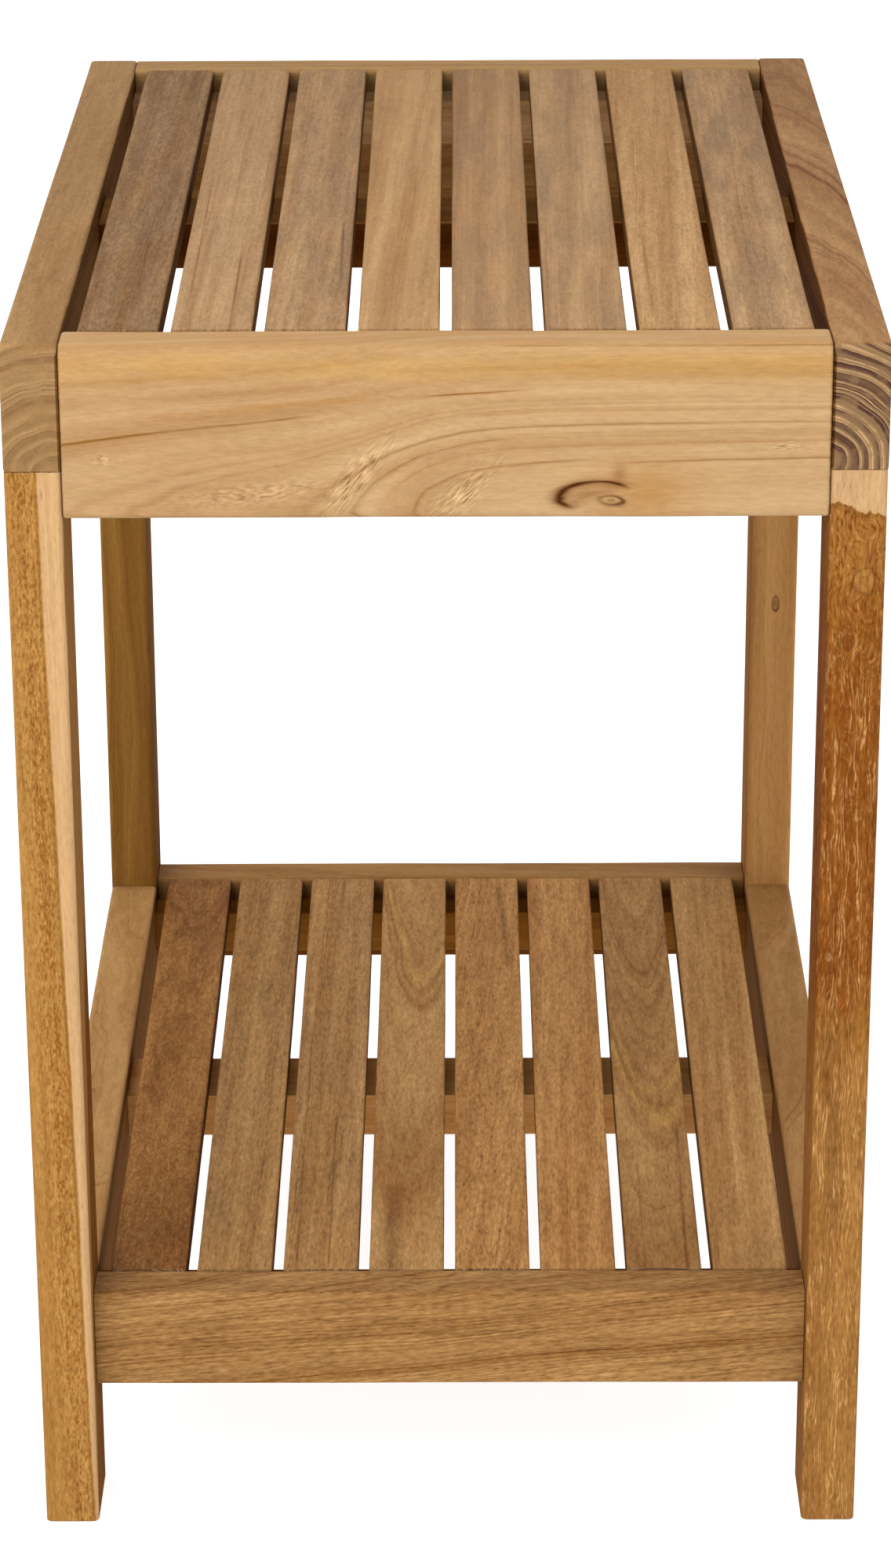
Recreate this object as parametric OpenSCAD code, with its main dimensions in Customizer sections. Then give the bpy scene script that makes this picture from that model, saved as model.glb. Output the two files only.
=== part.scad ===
// Slatted bench with a lower shelf, made of solid wood boards.
// The origin is on the floor, under the middle of the seat.
// +X runs across the short end, +Y runs along the slats from front to back, +Z is up.
// Each board is a separate solid. The boards meet in mortises, tenons, dowels and screws.

/* [Bench] */
// Width across the short end
bench_w = 305; // [270:1:400]
// Length from end to end, along the slats
bench_d = 457; // [380:1:700]
// Height of the seat above the floor
bench_h = 457; // [380:1:550]

/* [Legs and side rails] */
// Thickness of the legs and of the side rails, across the bench
leg_w = 20; // [18:0.5:28]
// Depth of a leg, along the bench
leg_d = 38; // [34:0.5:50]
// Height of the side rails that lie on top of the legs
side_rail_h = 45; // [38:0.5:70]
// Height of the shelf's rails, along the sides and across the ends
shelf_rail_h = 38; // [30:0.5:60]
// Height of the shelf's upper face above the floor
shelf_z = 92; // [70:1:200]

/* [End rails] */
// Thickness of the rails across the ends of the seat and the shelf
end_rail_t = 20; // [17:0.5:28]
// How far the seat's end rails reach down below the side rails
end_rail_drop = 17; // [13:0.5:40]

/* [Slats] */
// Number of slats in the seat, and in the shelf
slat_count = 8; // [4:1:9]
// Thickness of a slat
slat_t = 9.5; // [8:0.5:14]
// Gap between two slats
slat_gap = 4.1; // [3:0.1:8]
// Gap between an outer slat and the side rail beside it
side_gap = 5.3; // [2:0.1:10]
// Play between the end of a slat and the end rail
slat_end_play = 0.4; // [0.2:0.1:2]

/* [Slat supports] */
// Width of the cleats under the slats' ends, along the bench
cleat_w = 19; // [16:0.5:28]
// Height of the cleats and of the middle cross-bars
cleat_h = 18; // [14:0.5:21]
// Width of the middle cross-bars, along the bench
cross_bar_w = 38; // [26:0.5:60]

/* [Rounded edges] */
// Radius of the upper edges of the seat's frame
frame_r = 3; // [1:0.25:4]
// Radius of the legs' long edges, the shelf's rails, and the lower edges and ends of the seat's end rails
leg_r = 2; // [0.5:0.25:3]
// Radius of the slats' long edges
slat_r = 1.2; // [0.5:0.1:2]
// Radius of edges that were only sanded
sanded_r = 0.8; // [0.3:0.1:1]

/* [Joints] */
// Diameter of a dowel
dowel_d = 8; // [6:0.5:9]
// Depth of a dowel in each of the two boards that it joins
dowel_depth = 11; // [8:0.5:12]
// Distance from a dowel's axis to the edge of the rail beside it
dowel_inset = 10; // [8:0.5:12]
// Thickness of the tenon on top of a leg
leg_tenon_t = 8; // [6:0.5:10]
// Shoulder on both sides of a leg's tenon, along the bench
leg_tenon_shoulder = 6; // [4:0.5:10]
// Thickness of a cross-bar's tenon
bar_tenon_t = 10; // [6:0.5:11]
// Shoulder on both sides of a cross-bar's tenon
bar_tenon_shoulder = 6; // [3:0.5:8]
// Length of a cross-bar's tenon
bar_tenon_len = 9; // [6:0.5:11]
// Wood left between two joints that cross inside one board
joint_wall = 2.5; // [1.5:0.25:4]
// Clearance round a tenon or a dowel
joint_play = 0.15; // [0.05:0.05:0.3]
// Space left for glue at the bottom of a mortise or a dowel hole
glue_space = 0.6; // [0.3:0.1:1]

/* [Screws] */
// Diameter of a screw's shank
screw_d = 4; // [3:0.25:4.5]
// Diameter of a screw's countersunk head
screw_head_d = 8; // [7:0.25:9]
// Depth of a screw in a slat
slat_bite = 6; // [4:0.5:7]
// Depth of a screw in an end rail
rail_bite = 11; // [8:0.5:13]
// Depth of a screw's head below the wood
screw_sink = 0.4; // [0.2:0.1:1]
// Clearance round a screw
screw_play = 0.2; // [0.1:0.05:0.4]
// Length and width of one arm of the cross recess in a screw's head
screw_slot_l = 4.4; // [3.5:0.1:5]
// Width of the cross recess
screw_slot_w = 0.9; // [0.6:0.1:1.2]
// Depth of the cross recess
screw_slot_t = 1.3; // [0.8:0.1:1.6]

/* [Hidden] */
$fn = 40;
cut = 1; // how far a cutting shape runs past the face that it opens

// Planes and centres that several boards share
inner_x = bench_w / 2 - leg_w; // inner faces of the legs and of the side rails
leg_x = bench_w / 2 - leg_w / 2;
end_y = bench_d / 2; // outer faces at the ends
leg_y = end_y - leg_d / 2;
leg_inner_y = end_y - leg_d;
leg_top = bench_h - side_rail_h;
end_rail_z = leg_top - end_rail_drop; // lower edge of the seat's end rails
end_rail_h = bench_h - end_rail_z;
shelf_low = shelf_z - shelf_rail_h; // lower edge of the shelf's rails

// The seat's end rails are flush with the legs, and the shelf's are centred on them
seat_rail_y = end_y - end_rail_t / 2;
shelf_rail_y = leg_y;
seat_slat_y = seat_rail_y - end_rail_t / 2; // inner faces of the end rails
shelf_slat_y = shelf_rail_y - end_rail_t / 2;

// Slats share the width between the side rails
slat_w = (2 * inner_x - 2 * side_gap - (slat_count - 1) * slat_gap) / slat_count;
slat_pitch = slat_w + slat_gap;
function slat_x(i) = (i - (slat_count + 1) / 2) * slat_pitch;
function cleat_y(slat_y) = slat_y - cleat_w / 2;

// Dowels and tenons
dowel_len = 2 * dowel_depth;
seat_dowel_high = bench_h - dowel_inset - frame_r / 2;
seat_dowel_low = (leg_top + end_rail_z) / 2;
leg_tenon_top = seat_dowel_high - dowel_d / 2 - joint_play - joint_wall;
leg_tenon_h = leg_tenon_top - glue_space - leg_top;
leg_tenon_w = leg_d - 2 * leg_tenon_shoulder;
bar_tenon_w = cross_bar_w - 2 * bar_tenon_shoulder;

// Screws
slat_screw_len = cleat_h + slat_bite - screw_sink;
cleat_screw_len = cleat_w + rail_bite - screw_sink;
screw_head_h = (screw_head_d - screw_d) / 2;
screw_tip_h = screw_d / 2;
// A cleat's own screws stand beside the slats' screws, under the slats, so that no gap shows them
cleat_screw_step = (screw_head_d + screw_d) / 2 + 2 * screw_play + joint_wall;
cleat_screw_slats = [max(1, floor(slat_count / 2) - 2), floor(slat_count / 2)];
cleat_screw_xs = [for (i = cleat_screw_slats) cleat_screw_step - slat_x(i)];

SLATS = [for (i = [1:slat_count]) i];
ENDS = [["front", -1], ["back", 1]];
SIDES = [["left", -1], ["right", 1]];

// ---- shapes that the boards share ----

// What a rounded corner takes away from the corner at the origin
module corner_waste(r)
    difference() {
        translate([-cut, -cut]) square(r + cut);
        translate([r, r]) circle(r);
    }

// A rectangle that stands on the X axis, centred on the Y axis, with its lower and upper corners rounded
module round_rect(w, h, low_r, high_r)
    difference() {
        translate([-w / 2, 0]) square([w, h]);
        for (s = [0, 1]) mirror([s, 0]) {
            if (low_r > 0) translate([-w / 2, 0]) corner_waste(low_r);
            if (high_r > 0) translate([-w / 2, h]) mirror([0, 1]) corner_waste(high_r);
        }
    }

// A board that stands on the XY plane, centred on the Z axis. x_r and y_r are the lower and upper
// radii of its edges along X and along Y, and z_r is the radius of its upright edges.
module board(size, x_r, y_r, z_r)
    intersection() {
        translate([0, -size.y / 2, 0]) linear_extrude(size.z) round_rect(size.x, size.y, z_r, z_r);
        translate([-size.x / 2, 0, 0]) rotate([90, 0, 90])
            linear_extrude(size.x) round_rect(size.y, size.z, x_r[0], x_r[1]);
        translate([0, size.y / 2, 0]) rotate([90, 0, 0])
            linear_extrude(size.y) round_rect(size.x, size.z, y_r[0], y_r[1]);
    }

// Moves what is made for the origin to a leg's, a rail's or a joint's place on each side or end
module at_sides(x) for (s = [-1, 1]) translate([s * x, 0, 0]) children();
module at_ends(y) for (s = [-1, 1]) translate([0, s * y, 0]) children();
module at_heights(low, high) for (z = [low, high]) translate([0, 0, z]) children();

// A dowel along X or Y, centred on the origin, and the hole that takes it
module dowel(axis, play)
    rotate(axis == "x" ? [0, 90, 0] : [90, 0, 0])
        cylinder(d = dowel_d + 2 * play, h = dowel_len + 2 * (play > 0 ? glue_space : 0), center = true);

// All the dowels of the seat's frame, or with play the holes for them
module seat_dowel_set(play)
    at_sides(inner_x) at_ends(seat_rail_y) at_heights(seat_dowel_low, seat_dowel_high) dowel("x", play);

// All the dowels of the shelf's frame, or with play the holes for them
module shelf_dowel_set(play)
    at_heights(shelf_low + dowel_inset, shelf_z - dowel_inset) {
        at_sides(inner_x) at_ends(shelf_rail_y) dowel("x", play);
        at_sides(leg_x) at_ends(leg_inner_y) dowel("y", play);
    }

// A countersunk screw along Z with its head's face at the origin and its point up
module screw(length)
    difference() {
        rotate_extrude() polygon([
            [0, 0],
            [screw_head_d / 2, 0],
            [screw_d / 2, screw_head_h],
            [screw_d / 2, length - screw_tip_h],
            [0, length]
        ]);
        for (turn = [0, 90]) rotate(turn)
            translate([-screw_slot_l / 2, -screw_slot_w / 2, -cut])
                cube([screw_slot_l, screw_slot_w, screw_slot_t + cut]);
    }

// The hole that a screw goes into, from the face of the wood to just past its point
module screw_hole(length) {
    head_hole_d = screw_head_d + 2 * screw_play;
    shank_hole_d = screw_d + 2 * screw_play;
    translate([0, 0, -screw_sink]) {
        translate([0, 0, -cut]) cylinder(d = head_hole_d, h = cut + screw_sink + screw_play);
        translate([0, 0, screw_sink + screw_play])
            cylinder(d1 = head_hole_d, d2 = shank_hole_d, h = screw_head_h);
        cylinder(d = shank_hole_d, h = screw_sink + length + screw_play);
    }
}

// Places of the screws that come up through the cleats and the cross-bar into the slats
module at_slat_screws(i, slat_y, slat_top)
    for (y = [-cleat_y(slat_y), 0, cleat_y(slat_y)])
        translate([slat_x(i), y, slat_top - slat_t - cleat_h + screw_sink]) children();

// Places of the screws that hold the cleats to the end rails, pointing outwards
module at_cleat_screws(slat_y, slat_top)
    for (s = [-1, 1], x = cleat_screw_xs) at_sides(x)
        translate([0, s * (slat_y - cleat_w + screw_sink), slat_top - slat_t - cleat_h / 2])
            rotate([-90 * s, 0, 0]) children();

// ---- frame ----

module leg(x_side, y_side)
    color("#b9803f") difference() {
        translate([x_side * leg_x, y_side * leg_y, 0]) {
            board([leg_w, leg_d, leg_top], [sanded_r, 0], [sanded_r, 0], leg_r);
            translate([-leg_tenon_t / 2, -leg_tenon_w / 2, leg_top - cut])
                cube([leg_tenon_t, leg_tenon_w, leg_tenon_h + cut]);
        }
        seat_dowel_set(joint_play);
        shelf_dowel_set(joint_play);
    }

module leg_mortises() {
    size_x = leg_tenon_t + 2 * joint_play;
    size_y = leg_tenon_w + 2 * joint_play;
    at_sides(leg_x) at_ends(leg_y) translate([-size_x / 2, -size_y / 2, leg_top - cut])
        cube([size_x, size_y, cut + leg_tenon_h + glue_space]);
}

// The mortise for a cross-bar's tenon, in the side rail's inner face
module bar_mortises(slat_top)
    at_sides(inner_x) translate([0, 0, slat_top - slat_t - cleat_h / 2])
        cube([2 * (bar_tenon_len + glue_space), bar_tenon_w + 2 * joint_play, bar_tenon_t + 2 * joint_play],
            center = true);

module seat_side_rail(side)
    color("#b98e5c") difference() {
        translate([side * leg_x, 0, leg_top])
            board([leg_w, bench_d, side_rail_h], [0, frame_r], [sanded_r, frame_r], sanded_r);
        leg_mortises();
        bar_mortises(bench_h);
        seat_dowel_set(joint_play);
    }

module seat_end_rail(end)
    color("#cf9f62") difference() {
        translate([0, end * seat_rail_y, end_rail_z])
            board([2 * inner_x, end_rail_t, end_rail_h], [leg_r, frame_r], [leg_r, leg_r], leg_r);
        seat_dowel_set(joint_play);
        at_cleat_screws(seat_slat_y, bench_h) screw_hole(cleat_screw_len);
    }

module shelf_side_rail(side)
    color("#a97a45") difference() {
        translate([side * leg_x, 0, shelf_low])
            board([leg_w, 2 * leg_inner_y, shelf_rail_h], [0, 0], [sanded_r, leg_r], 0);
        bar_mortises(shelf_z);
        shelf_dowel_set(joint_play);
    }

module shelf_end_rail(end)
    color("#a37745") difference() {
        translate([0, end * shelf_rail_y, shelf_low])
            board([2 * inner_x, end_rail_t, shelf_rail_h], [sanded_r, leg_r], [0, 0], 0);
        shelf_dowel_set(joint_play);
        at_cleat_screws(shelf_slat_y, shelf_z) screw_hole(cleat_screw_len);
    }

// ---- slats and what carries them ----

module slat(i, slat_y, slat_top, tone) {
    size = [slat_w, 2 * (slat_y - slat_end_play), slat_t];
    color(tone) difference() {
        translate([slat_x(i), 0, slat_top - slat_t])
            board(size, [sanded_r, sanded_r], [sanded_r, slat_r], sanded_r);
        at_slat_screws(i, slat_y, slat_top) screw_hole(slat_screw_len);
    }
}

module seat_slat(i) slat(i, seat_slat_y, bench_h, "#a9815a");

module shelf_slat(i) slat(i, shelf_slat_y, shelf_z, "#99704a");

module cleat(end, slat_y, slat_top)
    color("#8f6436") difference() {
        translate([0, end * cleat_y(slat_y), slat_top - slat_t - cleat_h])
            board([2 * inner_x, cleat_w, cleat_h], [sanded_r, 0], [0, 0], 0);
        for (i = SLATS) at_slat_screws(i, slat_y, slat_top) screw_hole(slat_screw_len);
        at_cleat_screws(slat_y, slat_top) screw_hole(cleat_screw_len);
    }

module cross_bar(slat_y, slat_top)
    color("#8f6436") difference() {
        translate([0, 0, slat_top - slat_t - cleat_h]) {
            board([2 * inner_x, cross_bar_w, cleat_h], [sanded_r, 0], [0, 0], 0);
            translate([-inner_x - bar_tenon_len, -bar_tenon_w / 2, (cleat_h - bar_tenon_t) / 2])
                cube([2 * (inner_x + bar_tenon_len), bar_tenon_w, bar_tenon_t]);
        }
        for (i = SLATS) at_slat_screws(i, slat_y, slat_top) screw_hole(slat_screw_len);
    }

// ---- dowels and screws ----

module seat_frame_dowels() color("#d9b98a") seat_dowel_set(0);

module shelf_frame_dowels() color("#d9b98a") shelf_dowel_set(0);

module slat_screws(slat_y, slat_top)
    color("silver") for (i = SLATS) at_slat_screws(i, slat_y, slat_top) screw(slat_screw_len);

module cleat_screws()
    color("silver") {
        at_cleat_screws(seat_slat_y, bench_h) screw(cleat_screw_len);
        at_cleat_screws(shelf_slat_y, shelf_z) screw(cleat_screw_len);
    }

// ---- the bench ----

for (s = SIDES) seat_side_rail(s[1]);
for (e = ENDS) seat_end_rail(e[1]);
for (e = ENDS, s = SIDES) leg(s[1], e[1]);
for (s = SIDES) shelf_side_rail(s[1]);
for (e = ENDS) shelf_end_rail(e[1]);
for (i = SLATS) seat_slat(i);
for (i = SLATS) shelf_slat(i);
for (e = ENDS) cleat(e[1], seat_slat_y, bench_h);
for (e = ENDS) cleat(e[1], shelf_slat_y, shelf_z);
cross_bar(seat_slat_y, bench_h);  // seat_cross_bar
cross_bar(shelf_slat_y, shelf_z);  // shelf_cross_bar
seat_frame_dowels();
shelf_frame_dowels();
slat_screws(seat_slat_y, bench_h);  // seat_slat_screws
slat_screws(shelf_slat_y, shelf_z);  // shelf_slat_screws
cleat_screws();
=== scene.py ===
"""A slatted teak shower bench: its boards, screws and finishes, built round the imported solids."""

import math
from dataclasses import dataclass, replace
from types import SimpleNamespace

import bpy
from bpy.props import FloatProperty, FloatVectorProperty, IntProperty, PointerProperty
from mathutils import Matrix, Vector


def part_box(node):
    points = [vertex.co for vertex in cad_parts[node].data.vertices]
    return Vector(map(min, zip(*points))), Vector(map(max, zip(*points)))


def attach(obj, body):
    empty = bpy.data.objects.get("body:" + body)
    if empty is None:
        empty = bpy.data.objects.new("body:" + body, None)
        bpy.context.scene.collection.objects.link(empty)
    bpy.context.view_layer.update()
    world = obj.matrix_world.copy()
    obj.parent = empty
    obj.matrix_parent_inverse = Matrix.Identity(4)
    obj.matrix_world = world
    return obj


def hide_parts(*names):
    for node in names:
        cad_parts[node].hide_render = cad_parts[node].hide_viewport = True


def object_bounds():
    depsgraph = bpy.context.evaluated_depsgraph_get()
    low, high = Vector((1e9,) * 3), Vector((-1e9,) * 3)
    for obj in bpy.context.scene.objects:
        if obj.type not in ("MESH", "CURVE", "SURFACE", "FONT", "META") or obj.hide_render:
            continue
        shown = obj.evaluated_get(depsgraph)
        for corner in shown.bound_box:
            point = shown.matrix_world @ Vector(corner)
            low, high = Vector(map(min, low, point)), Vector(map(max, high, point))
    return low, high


bl_info = {
    "name": "Teak Shower Bench",
    "version": (1, 0, 0),
    "blender": (4, 5, 0),
    "location": "View3D > Sidebar > Bench",
    "description": "Builds a slatted teak shower bench board by board, with its timber, screws and studio",
    "category": "Add Mesh",
}

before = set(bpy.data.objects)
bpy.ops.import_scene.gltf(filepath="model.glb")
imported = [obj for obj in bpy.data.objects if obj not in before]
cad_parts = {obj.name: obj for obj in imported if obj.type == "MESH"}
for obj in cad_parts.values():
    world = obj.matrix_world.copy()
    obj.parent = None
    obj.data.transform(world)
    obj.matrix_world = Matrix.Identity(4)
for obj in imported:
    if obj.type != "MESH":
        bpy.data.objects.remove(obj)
cad_low, cad_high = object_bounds()

MM = 0.001
X, Y, Z = range(3)
ROWS = ("seat", "shelf")
SLATS = sum(1 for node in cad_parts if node.startswith("seat_slat_") and node[-1].isdigit())


# ---- the timber that each board was sawn from ----

NO_WANE = -100.0  # as far above the wane as all of a board lies that has none, in millimetres
SWERVE_AT, SWERVE_LENGTH = -0.13, 0.18  # where a pith swerves and how fast, in shares of half a board
PALER, DEEPER = 0.84, 1.5  # powers that turn a tint into its early wood and its late wood
LOG_STEP = 731.0  # how far apart two boards' samples lie in the pattern, in millimetres


@dataclass
class Timber:
    """Where one board lay in its log, how that log had grown, and how much shade is painted on it. Lengths
    are in millimetres.
    """

    tint: tuple  # the wood's colour, between its early and its late growth
    pith: tuple  # the line of the log's middle, from the board's own middle
    lean: tuple = (0, 0, 0)  # how far the pith moves from the board's middle to its far end
    bow: tuple = (0, 0, 0)  # how far the pith moves from the board's middle to both ends
    swerve: tuple = (0, 0, 0)  # how far the pith moves within a short length round SWERVE_AT
    ring: float = 4.0  # width of a year's growth
    lines: float = 0.5  # how dark the edges of the years are
    wave: float = 4.0  # how far the growth strays
    sap: float = 900.0  # wood further than this from the pith is pale sapwood
    wane: tuple = None  # a plane's point and direction: what lies above it is sapwood too
    mottle: float = 0.3  # strength of the cloudy figure
    streaks: float = 0.3  # strength of the dark mineral lines
    dusk: float = 0.0  # strength of the greyish bloom
    fibre: float = 0.5  # strength of the fine lines
    pores: float = 0.5  # strength of the short dark dashes
    speckle: float = 0.6  # strength of the short strokes
    flecks: float = 0.0  # strength of the dark, curly flecks
    fleck_at: float = 0.0  # distance from the pith at which the flecks lie
    threads: float = 0.0  # strength of the pale lines along the grain
    inner: float = 0.5  # painted shade: how much darker the wood is painted where it is turned to the next board, away from the light
    fade: float = 0.0  # painted shade: how much darker the board's far end is painted than its near end, as if less light reached it

    def __post_init__(self):
        for name in ("pith", "lean", "bow", "swerve"):
            setattr(self, name, Vector(getattr(self, name)))
        self.pale = tuple(part ** PALER for part in self.tint)
        self.deep = tuple(part ** DEEPER for part in self.tint)

    def above_wane(self, offset):
        """How far a point of the board lies above the wane, in millimetres."""
        if not self.wane:
            return NO_WANE
        point, normal = self.wane
        return (offset - Vector(point)).dot(Vector(normal).normalized())


# The traits that a mesh carries, three to an attribute
TRAITS = {
    "growth": ("ring", "lines", "wave"),
    "figure": ("mottle", "streaks", "dusk"),
    "texture": ("fibre", "pores", "speckle"),
    "marks": ("flecks", "fleck_at", "threads"),
}


def tone(red, green, blue):
    """A colour as a screen shows it, from 0 to 255, in linear light."""
    return tuple((part / 255) ** 2.2 for part in (red, green, blue))


# Tones of the timber, from the palest to the darkest
THREAD = tone(190, 145, 92)
CREAM = tone(182, 146, 104)
APRICOT = tone(192, 141, 84)
HONEY = tone(167, 132, 91)
GOLD = tone(170, 130, 70)
STRAW = tone(157, 119, 76)
WHEAT = tone(152, 117, 79)
TAN = tone(153, 112, 65)
CINNAMON = tone(155, 109, 60)
BISCUIT = tone(146, 109, 71)
AMBER = tone(152, 107, 53)
SAND = tone(143, 108, 66)
OAK = tone(142, 102, 58)
UMBER = tone(140, 101, 62)
SMOKE = tone(122, 97, 72)
ASH = tone(122, 89, 54)
OLIVE = tone(112, 90, 67)
COCOA = tone(124, 82, 41)
RUSSET = tone(127, 80, 31)
WALNUT = tone(117, 79, 34)
CHESTNUT = tone(108, 54, 18)
PLUM = tone(70, 46, 40)
BARK = tone(70, 36, 13)


def slat(tint, pith, lean, **traits):
    """The timber of a slat, whose years are 3 mm wide unless its traits say otherwise."""
    return Timber(tint, pith, lean, **{"ring": 3.0, **traits})


# A board's number is its place in its list, from 0
FRAME_TIMBER = {
    "seat_end_rail_front": Timber(
        HONEY, (0, -46.9, -31), (0, 5, 0), (0, -2.4, 0), (0, 6.1, 0), ring=3.4, lines=0.25, wave=0.3,
        mottle=0.2, streaks=0.0, fibre=0.25, pores=0.15, speckle=0.45),
    "seat_end_rail_back": Timber(SAND, (0, -50, 20), (6, 0, 4), wave=2.0, inner=0.4),
    "seat_side_rail_left": Timber(
        SAND, (6.6, 0, -27), (0, 0, -3), ring=5.0, lines=0.22, wave=2.0, speckle=0.9, fade=0.18),
    "seat_side_rail_right": Timber(
        UMBER, (-12, 0, -36), (0, 0, -17), ring=4.2, lines=0.75, wave=1.5, streaks=0.2, speckle=1.0,
        inner=0.6, fade=0.2),
    "leg_front_left": Timber(
        AMBER, (-60, 8, 0), (-3.88, 0, 0), ring=3.5, wave=0.4, sap=70.45, mottle=0.5, pores=1.0,
        speckle=1.0, inner=0.48, flecks=1.0, fleck_at=66.0),
    "leg_front_right": Timber(
        RUSSET, (44, 30, 0), ring=2.2, lines=0.9, wave=5.0, mottle=0.9, pores=0.8, speckle=1.6,
        wane=((0, -19, 192), (0.25, 0.0, 0.97)), inner=0.25),
    "leg_back_left": Timber(WALNUT, (-50, 30, 0), ring=3.5, fibre=0.3, mottle=0.1, inner=0.3),
    "leg_back_right": Timber(
        CINNAMON, (-50, 30, 0), ring=3.5, streaks=0.8, fibre=0.3, mottle=0.1, inner=0.3),
    "shelf_side_rail_left": Timber(TAN, (20, 0, -50), (6, 0, 10), mottle=0.6, inner=0.4),
    "shelf_side_rail_right": Timber(OAK, (-20, 0, -50), (4, 0, 8), mottle=0.5, inner=0.4),
    "shelf_end_rail_front": Timber(
        OAK, (0, -30, -70), (0, 0, 14), ring=1.7, lines=1.1, wave=3.0, pores=1.2, fibre=0.8,
        speckle=1.8, streaks=0.1),
    "shelf_end_rail_back": Timber(OAK, (0, 30, -60), (0, 0, 6), ring=3.0),
}
SLAT_TIMBER = {
    "seat": [
        slat(ASH, (50, 0, 6), (4, 0, 0), lines=0.3, wave=1.5, dusk=0.5, speckle=1.6),
        slat(WHEAT, (-60, 0, 5), (3, 0, 0), lines=0.3, wave=1.2, dusk=0.15, streaks=0.5, speckle=0.9),
        slat(WHEAT, (-40, 0, -8), (5, 0, 0), lines=0.3, wave=1.5, dusk=0.5, streaks=0.9, speckle=1.1),
        slat(STRAW, (60, 0, -10), (6, 0, 0), ring=4.0, lines=0.2, wave=1.2, dusk=0.15, speckle=0.7),
        slat(BISCUIT, (-55, 0, 0), (2, 0, 0), lines=0.15, wave=1.0, dusk=0.4, speckle=0.7),
        slat(WHEAT, (50, 0, -10), (3, 0, 0), lines=0.2, wave=1.2, dusk=0.4, speckle=0.8, mottle=0.25),
        slat(STRAW, (-50, 0, -8), (6, 0, 0), lines=0.25, wave=1.2, streaks=0.4, speckle=1.1),
        slat(WHEAT, (-45, 0, 6), (3, 0, 0), lines=0.25, wave=1.2, dusk=0.6, speckle=1.1),
    ],
    "shelf": [
        slat(COCOA, (0, 0, -26), (3, 0, 12), ring=3.6, lines=0.6, wave=5.0, mottle=0.8, speckle=1.5,
             threads=0.12),
        slat(OAK, (50, 0, -10), (4, 0, 0), lines=0.3, wave=1.5, speckle=1.6, pores=1.2, dusk=0.2),
        slat(TAN, (-50, 0, -10), (4, 0, 0), lines=0.5, wave=1.5, speckle=1.6, pores=1.2, dusk=0.2),
        slat(TAN, (4, 0, -24), (2, 0, 14), ring=3.6, lines=0.25, wave=1.5, speckle=1.5, streaks=0.5),
        slat(CINNAMON, (-40, 0, -20), (8, 0, 8), ring=2.4, lines=0.6, wave=2.0, speckle=1.8, pores=1.6,
             streaks=0.5),
        slat(CINNAMON, (60, 0, -10), (4, 0, 0), lines=0.2, wave=1.2, speckle=1.7),
        slat(OAK, (2, 0, -20), (0, 0, 12), ring=3.6, lines=0.6, wave=1.0, speckle=1.5),
        slat(TAN, (-50, 0, -10), (4, 0, 0), lines=0.2, wave=1.2, speckle=1.4),
    ],
}
ROW_FAR_SHADE = {"seat": 0.15, "shelf": 0.0}  # painted shade: how much darker the slats' far ends are painted, as if less light reached them
CLEAT_TIMBER = {"seat": Timber(BISCUIT, (0, 20, -50)), "shelf": Timber(RUSSET, (0, 20, -50))}
CROSS_BAR_TIMBER = {
    "seat": Timber(COCOA, (0, 20, -50), inner=0.6),
    "shelf": Timber(APRICOT, (0, 20, -50), inner=0.1),
}
DOWEL_TIMBER = Timber(STRAW, (0, 20, 40), lines=0.2)
CLEAT_NUMBER, DOWEL_NUMBER, CROSS_BAR_NUMBER = 30, 31, 32


# ---- boards ----


class Edges:
    """Radii of a board's edges in millimetres: low and high along it, and round its two end faces.

    start and finish hold the radii of an end face's side, low and high edges. The painted shade of the
    face that is turned in begins as far below the top as the last argument says.
    """

    def __init__(self, low, high, start, finish=None, shade_from=0.9):
        self.long = (low, low, high, high)
        self.ends = (start, finish or start)
        self.shade_from = shade_from


EASED = 0.3  # an edge that the next board hides still has its sharpness taken off
ALL_EASED = (EASED, EASED, EASED)
EDGES = {
    "seat_side_rail": Edges(0.8, 1.5, (0.8, EASED, 3.0), (EASED, EASED, 0.8)),
    "seat_end_rail_front": Edges(2.0, 3.0, (1.0, 1.0, 1.6)),
    "seat_end_rail_back": Edges(1.0, 2.0, ALL_EASED, shade_from=4.0),
    "leg": Edges(2.0, 2.0, (0.8, 0.8, 0.8), ALL_EASED),
    "shelf_side_rail": Edges(0.8, 2.0, ALL_EASED),
    "shelf_end_rail": Edges(0.8, 2.0, ALL_EASED, shade_from=4.0),
    "slat": Edges(0.8, 1.2, (0.8, 0.8, 0.8)),
}
ARC_STEPS = 4  # faces round a quarter turn
BRACE = 0.35  # from a rounding to the loop that holds the flat face beside it, in millimetres
STATION_GAP = 12.0  # between two rings of vertices along a board, in millimetres
HAND = 0.12  # how unevenly an edge was sanded, as a share of its radius
PLANED = 0.06  # how uneven a planed face is, in millimetres
FACE_WAYS, EDGE_WAYS = range(4), range(5, 9)  # the waves of the four faces and of the four long edges
WANDER = ((0.6, 5.1, 1), (0.4, 12.7, 2))  # height of a wave, its pace along the board, and its phase's share
BOARD_PHASE, WAY_PHASE = 2.4, 1.7  # how far the phase moves from board to board and from way to way
SHADE_EDGE_REACH = 0.15  # how far on to its edges a side's painted shade reaches, in millimetres
JOINT = 0.2  # how far from an end rail's end the painted shade of its joint reaches, in millimetres


def across(axis):
    """The two directions across a board that runs along axis."""
    return [way for way in (X, Y, Z) if way != axis]


def inset_at(radius, distance):
    """How far a rounded end edge has drawn a face in, at a distance from the end face."""
    short = max(radius - distance, 0.0)
    return radius - math.sqrt(radius * radius - short * short)


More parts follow.
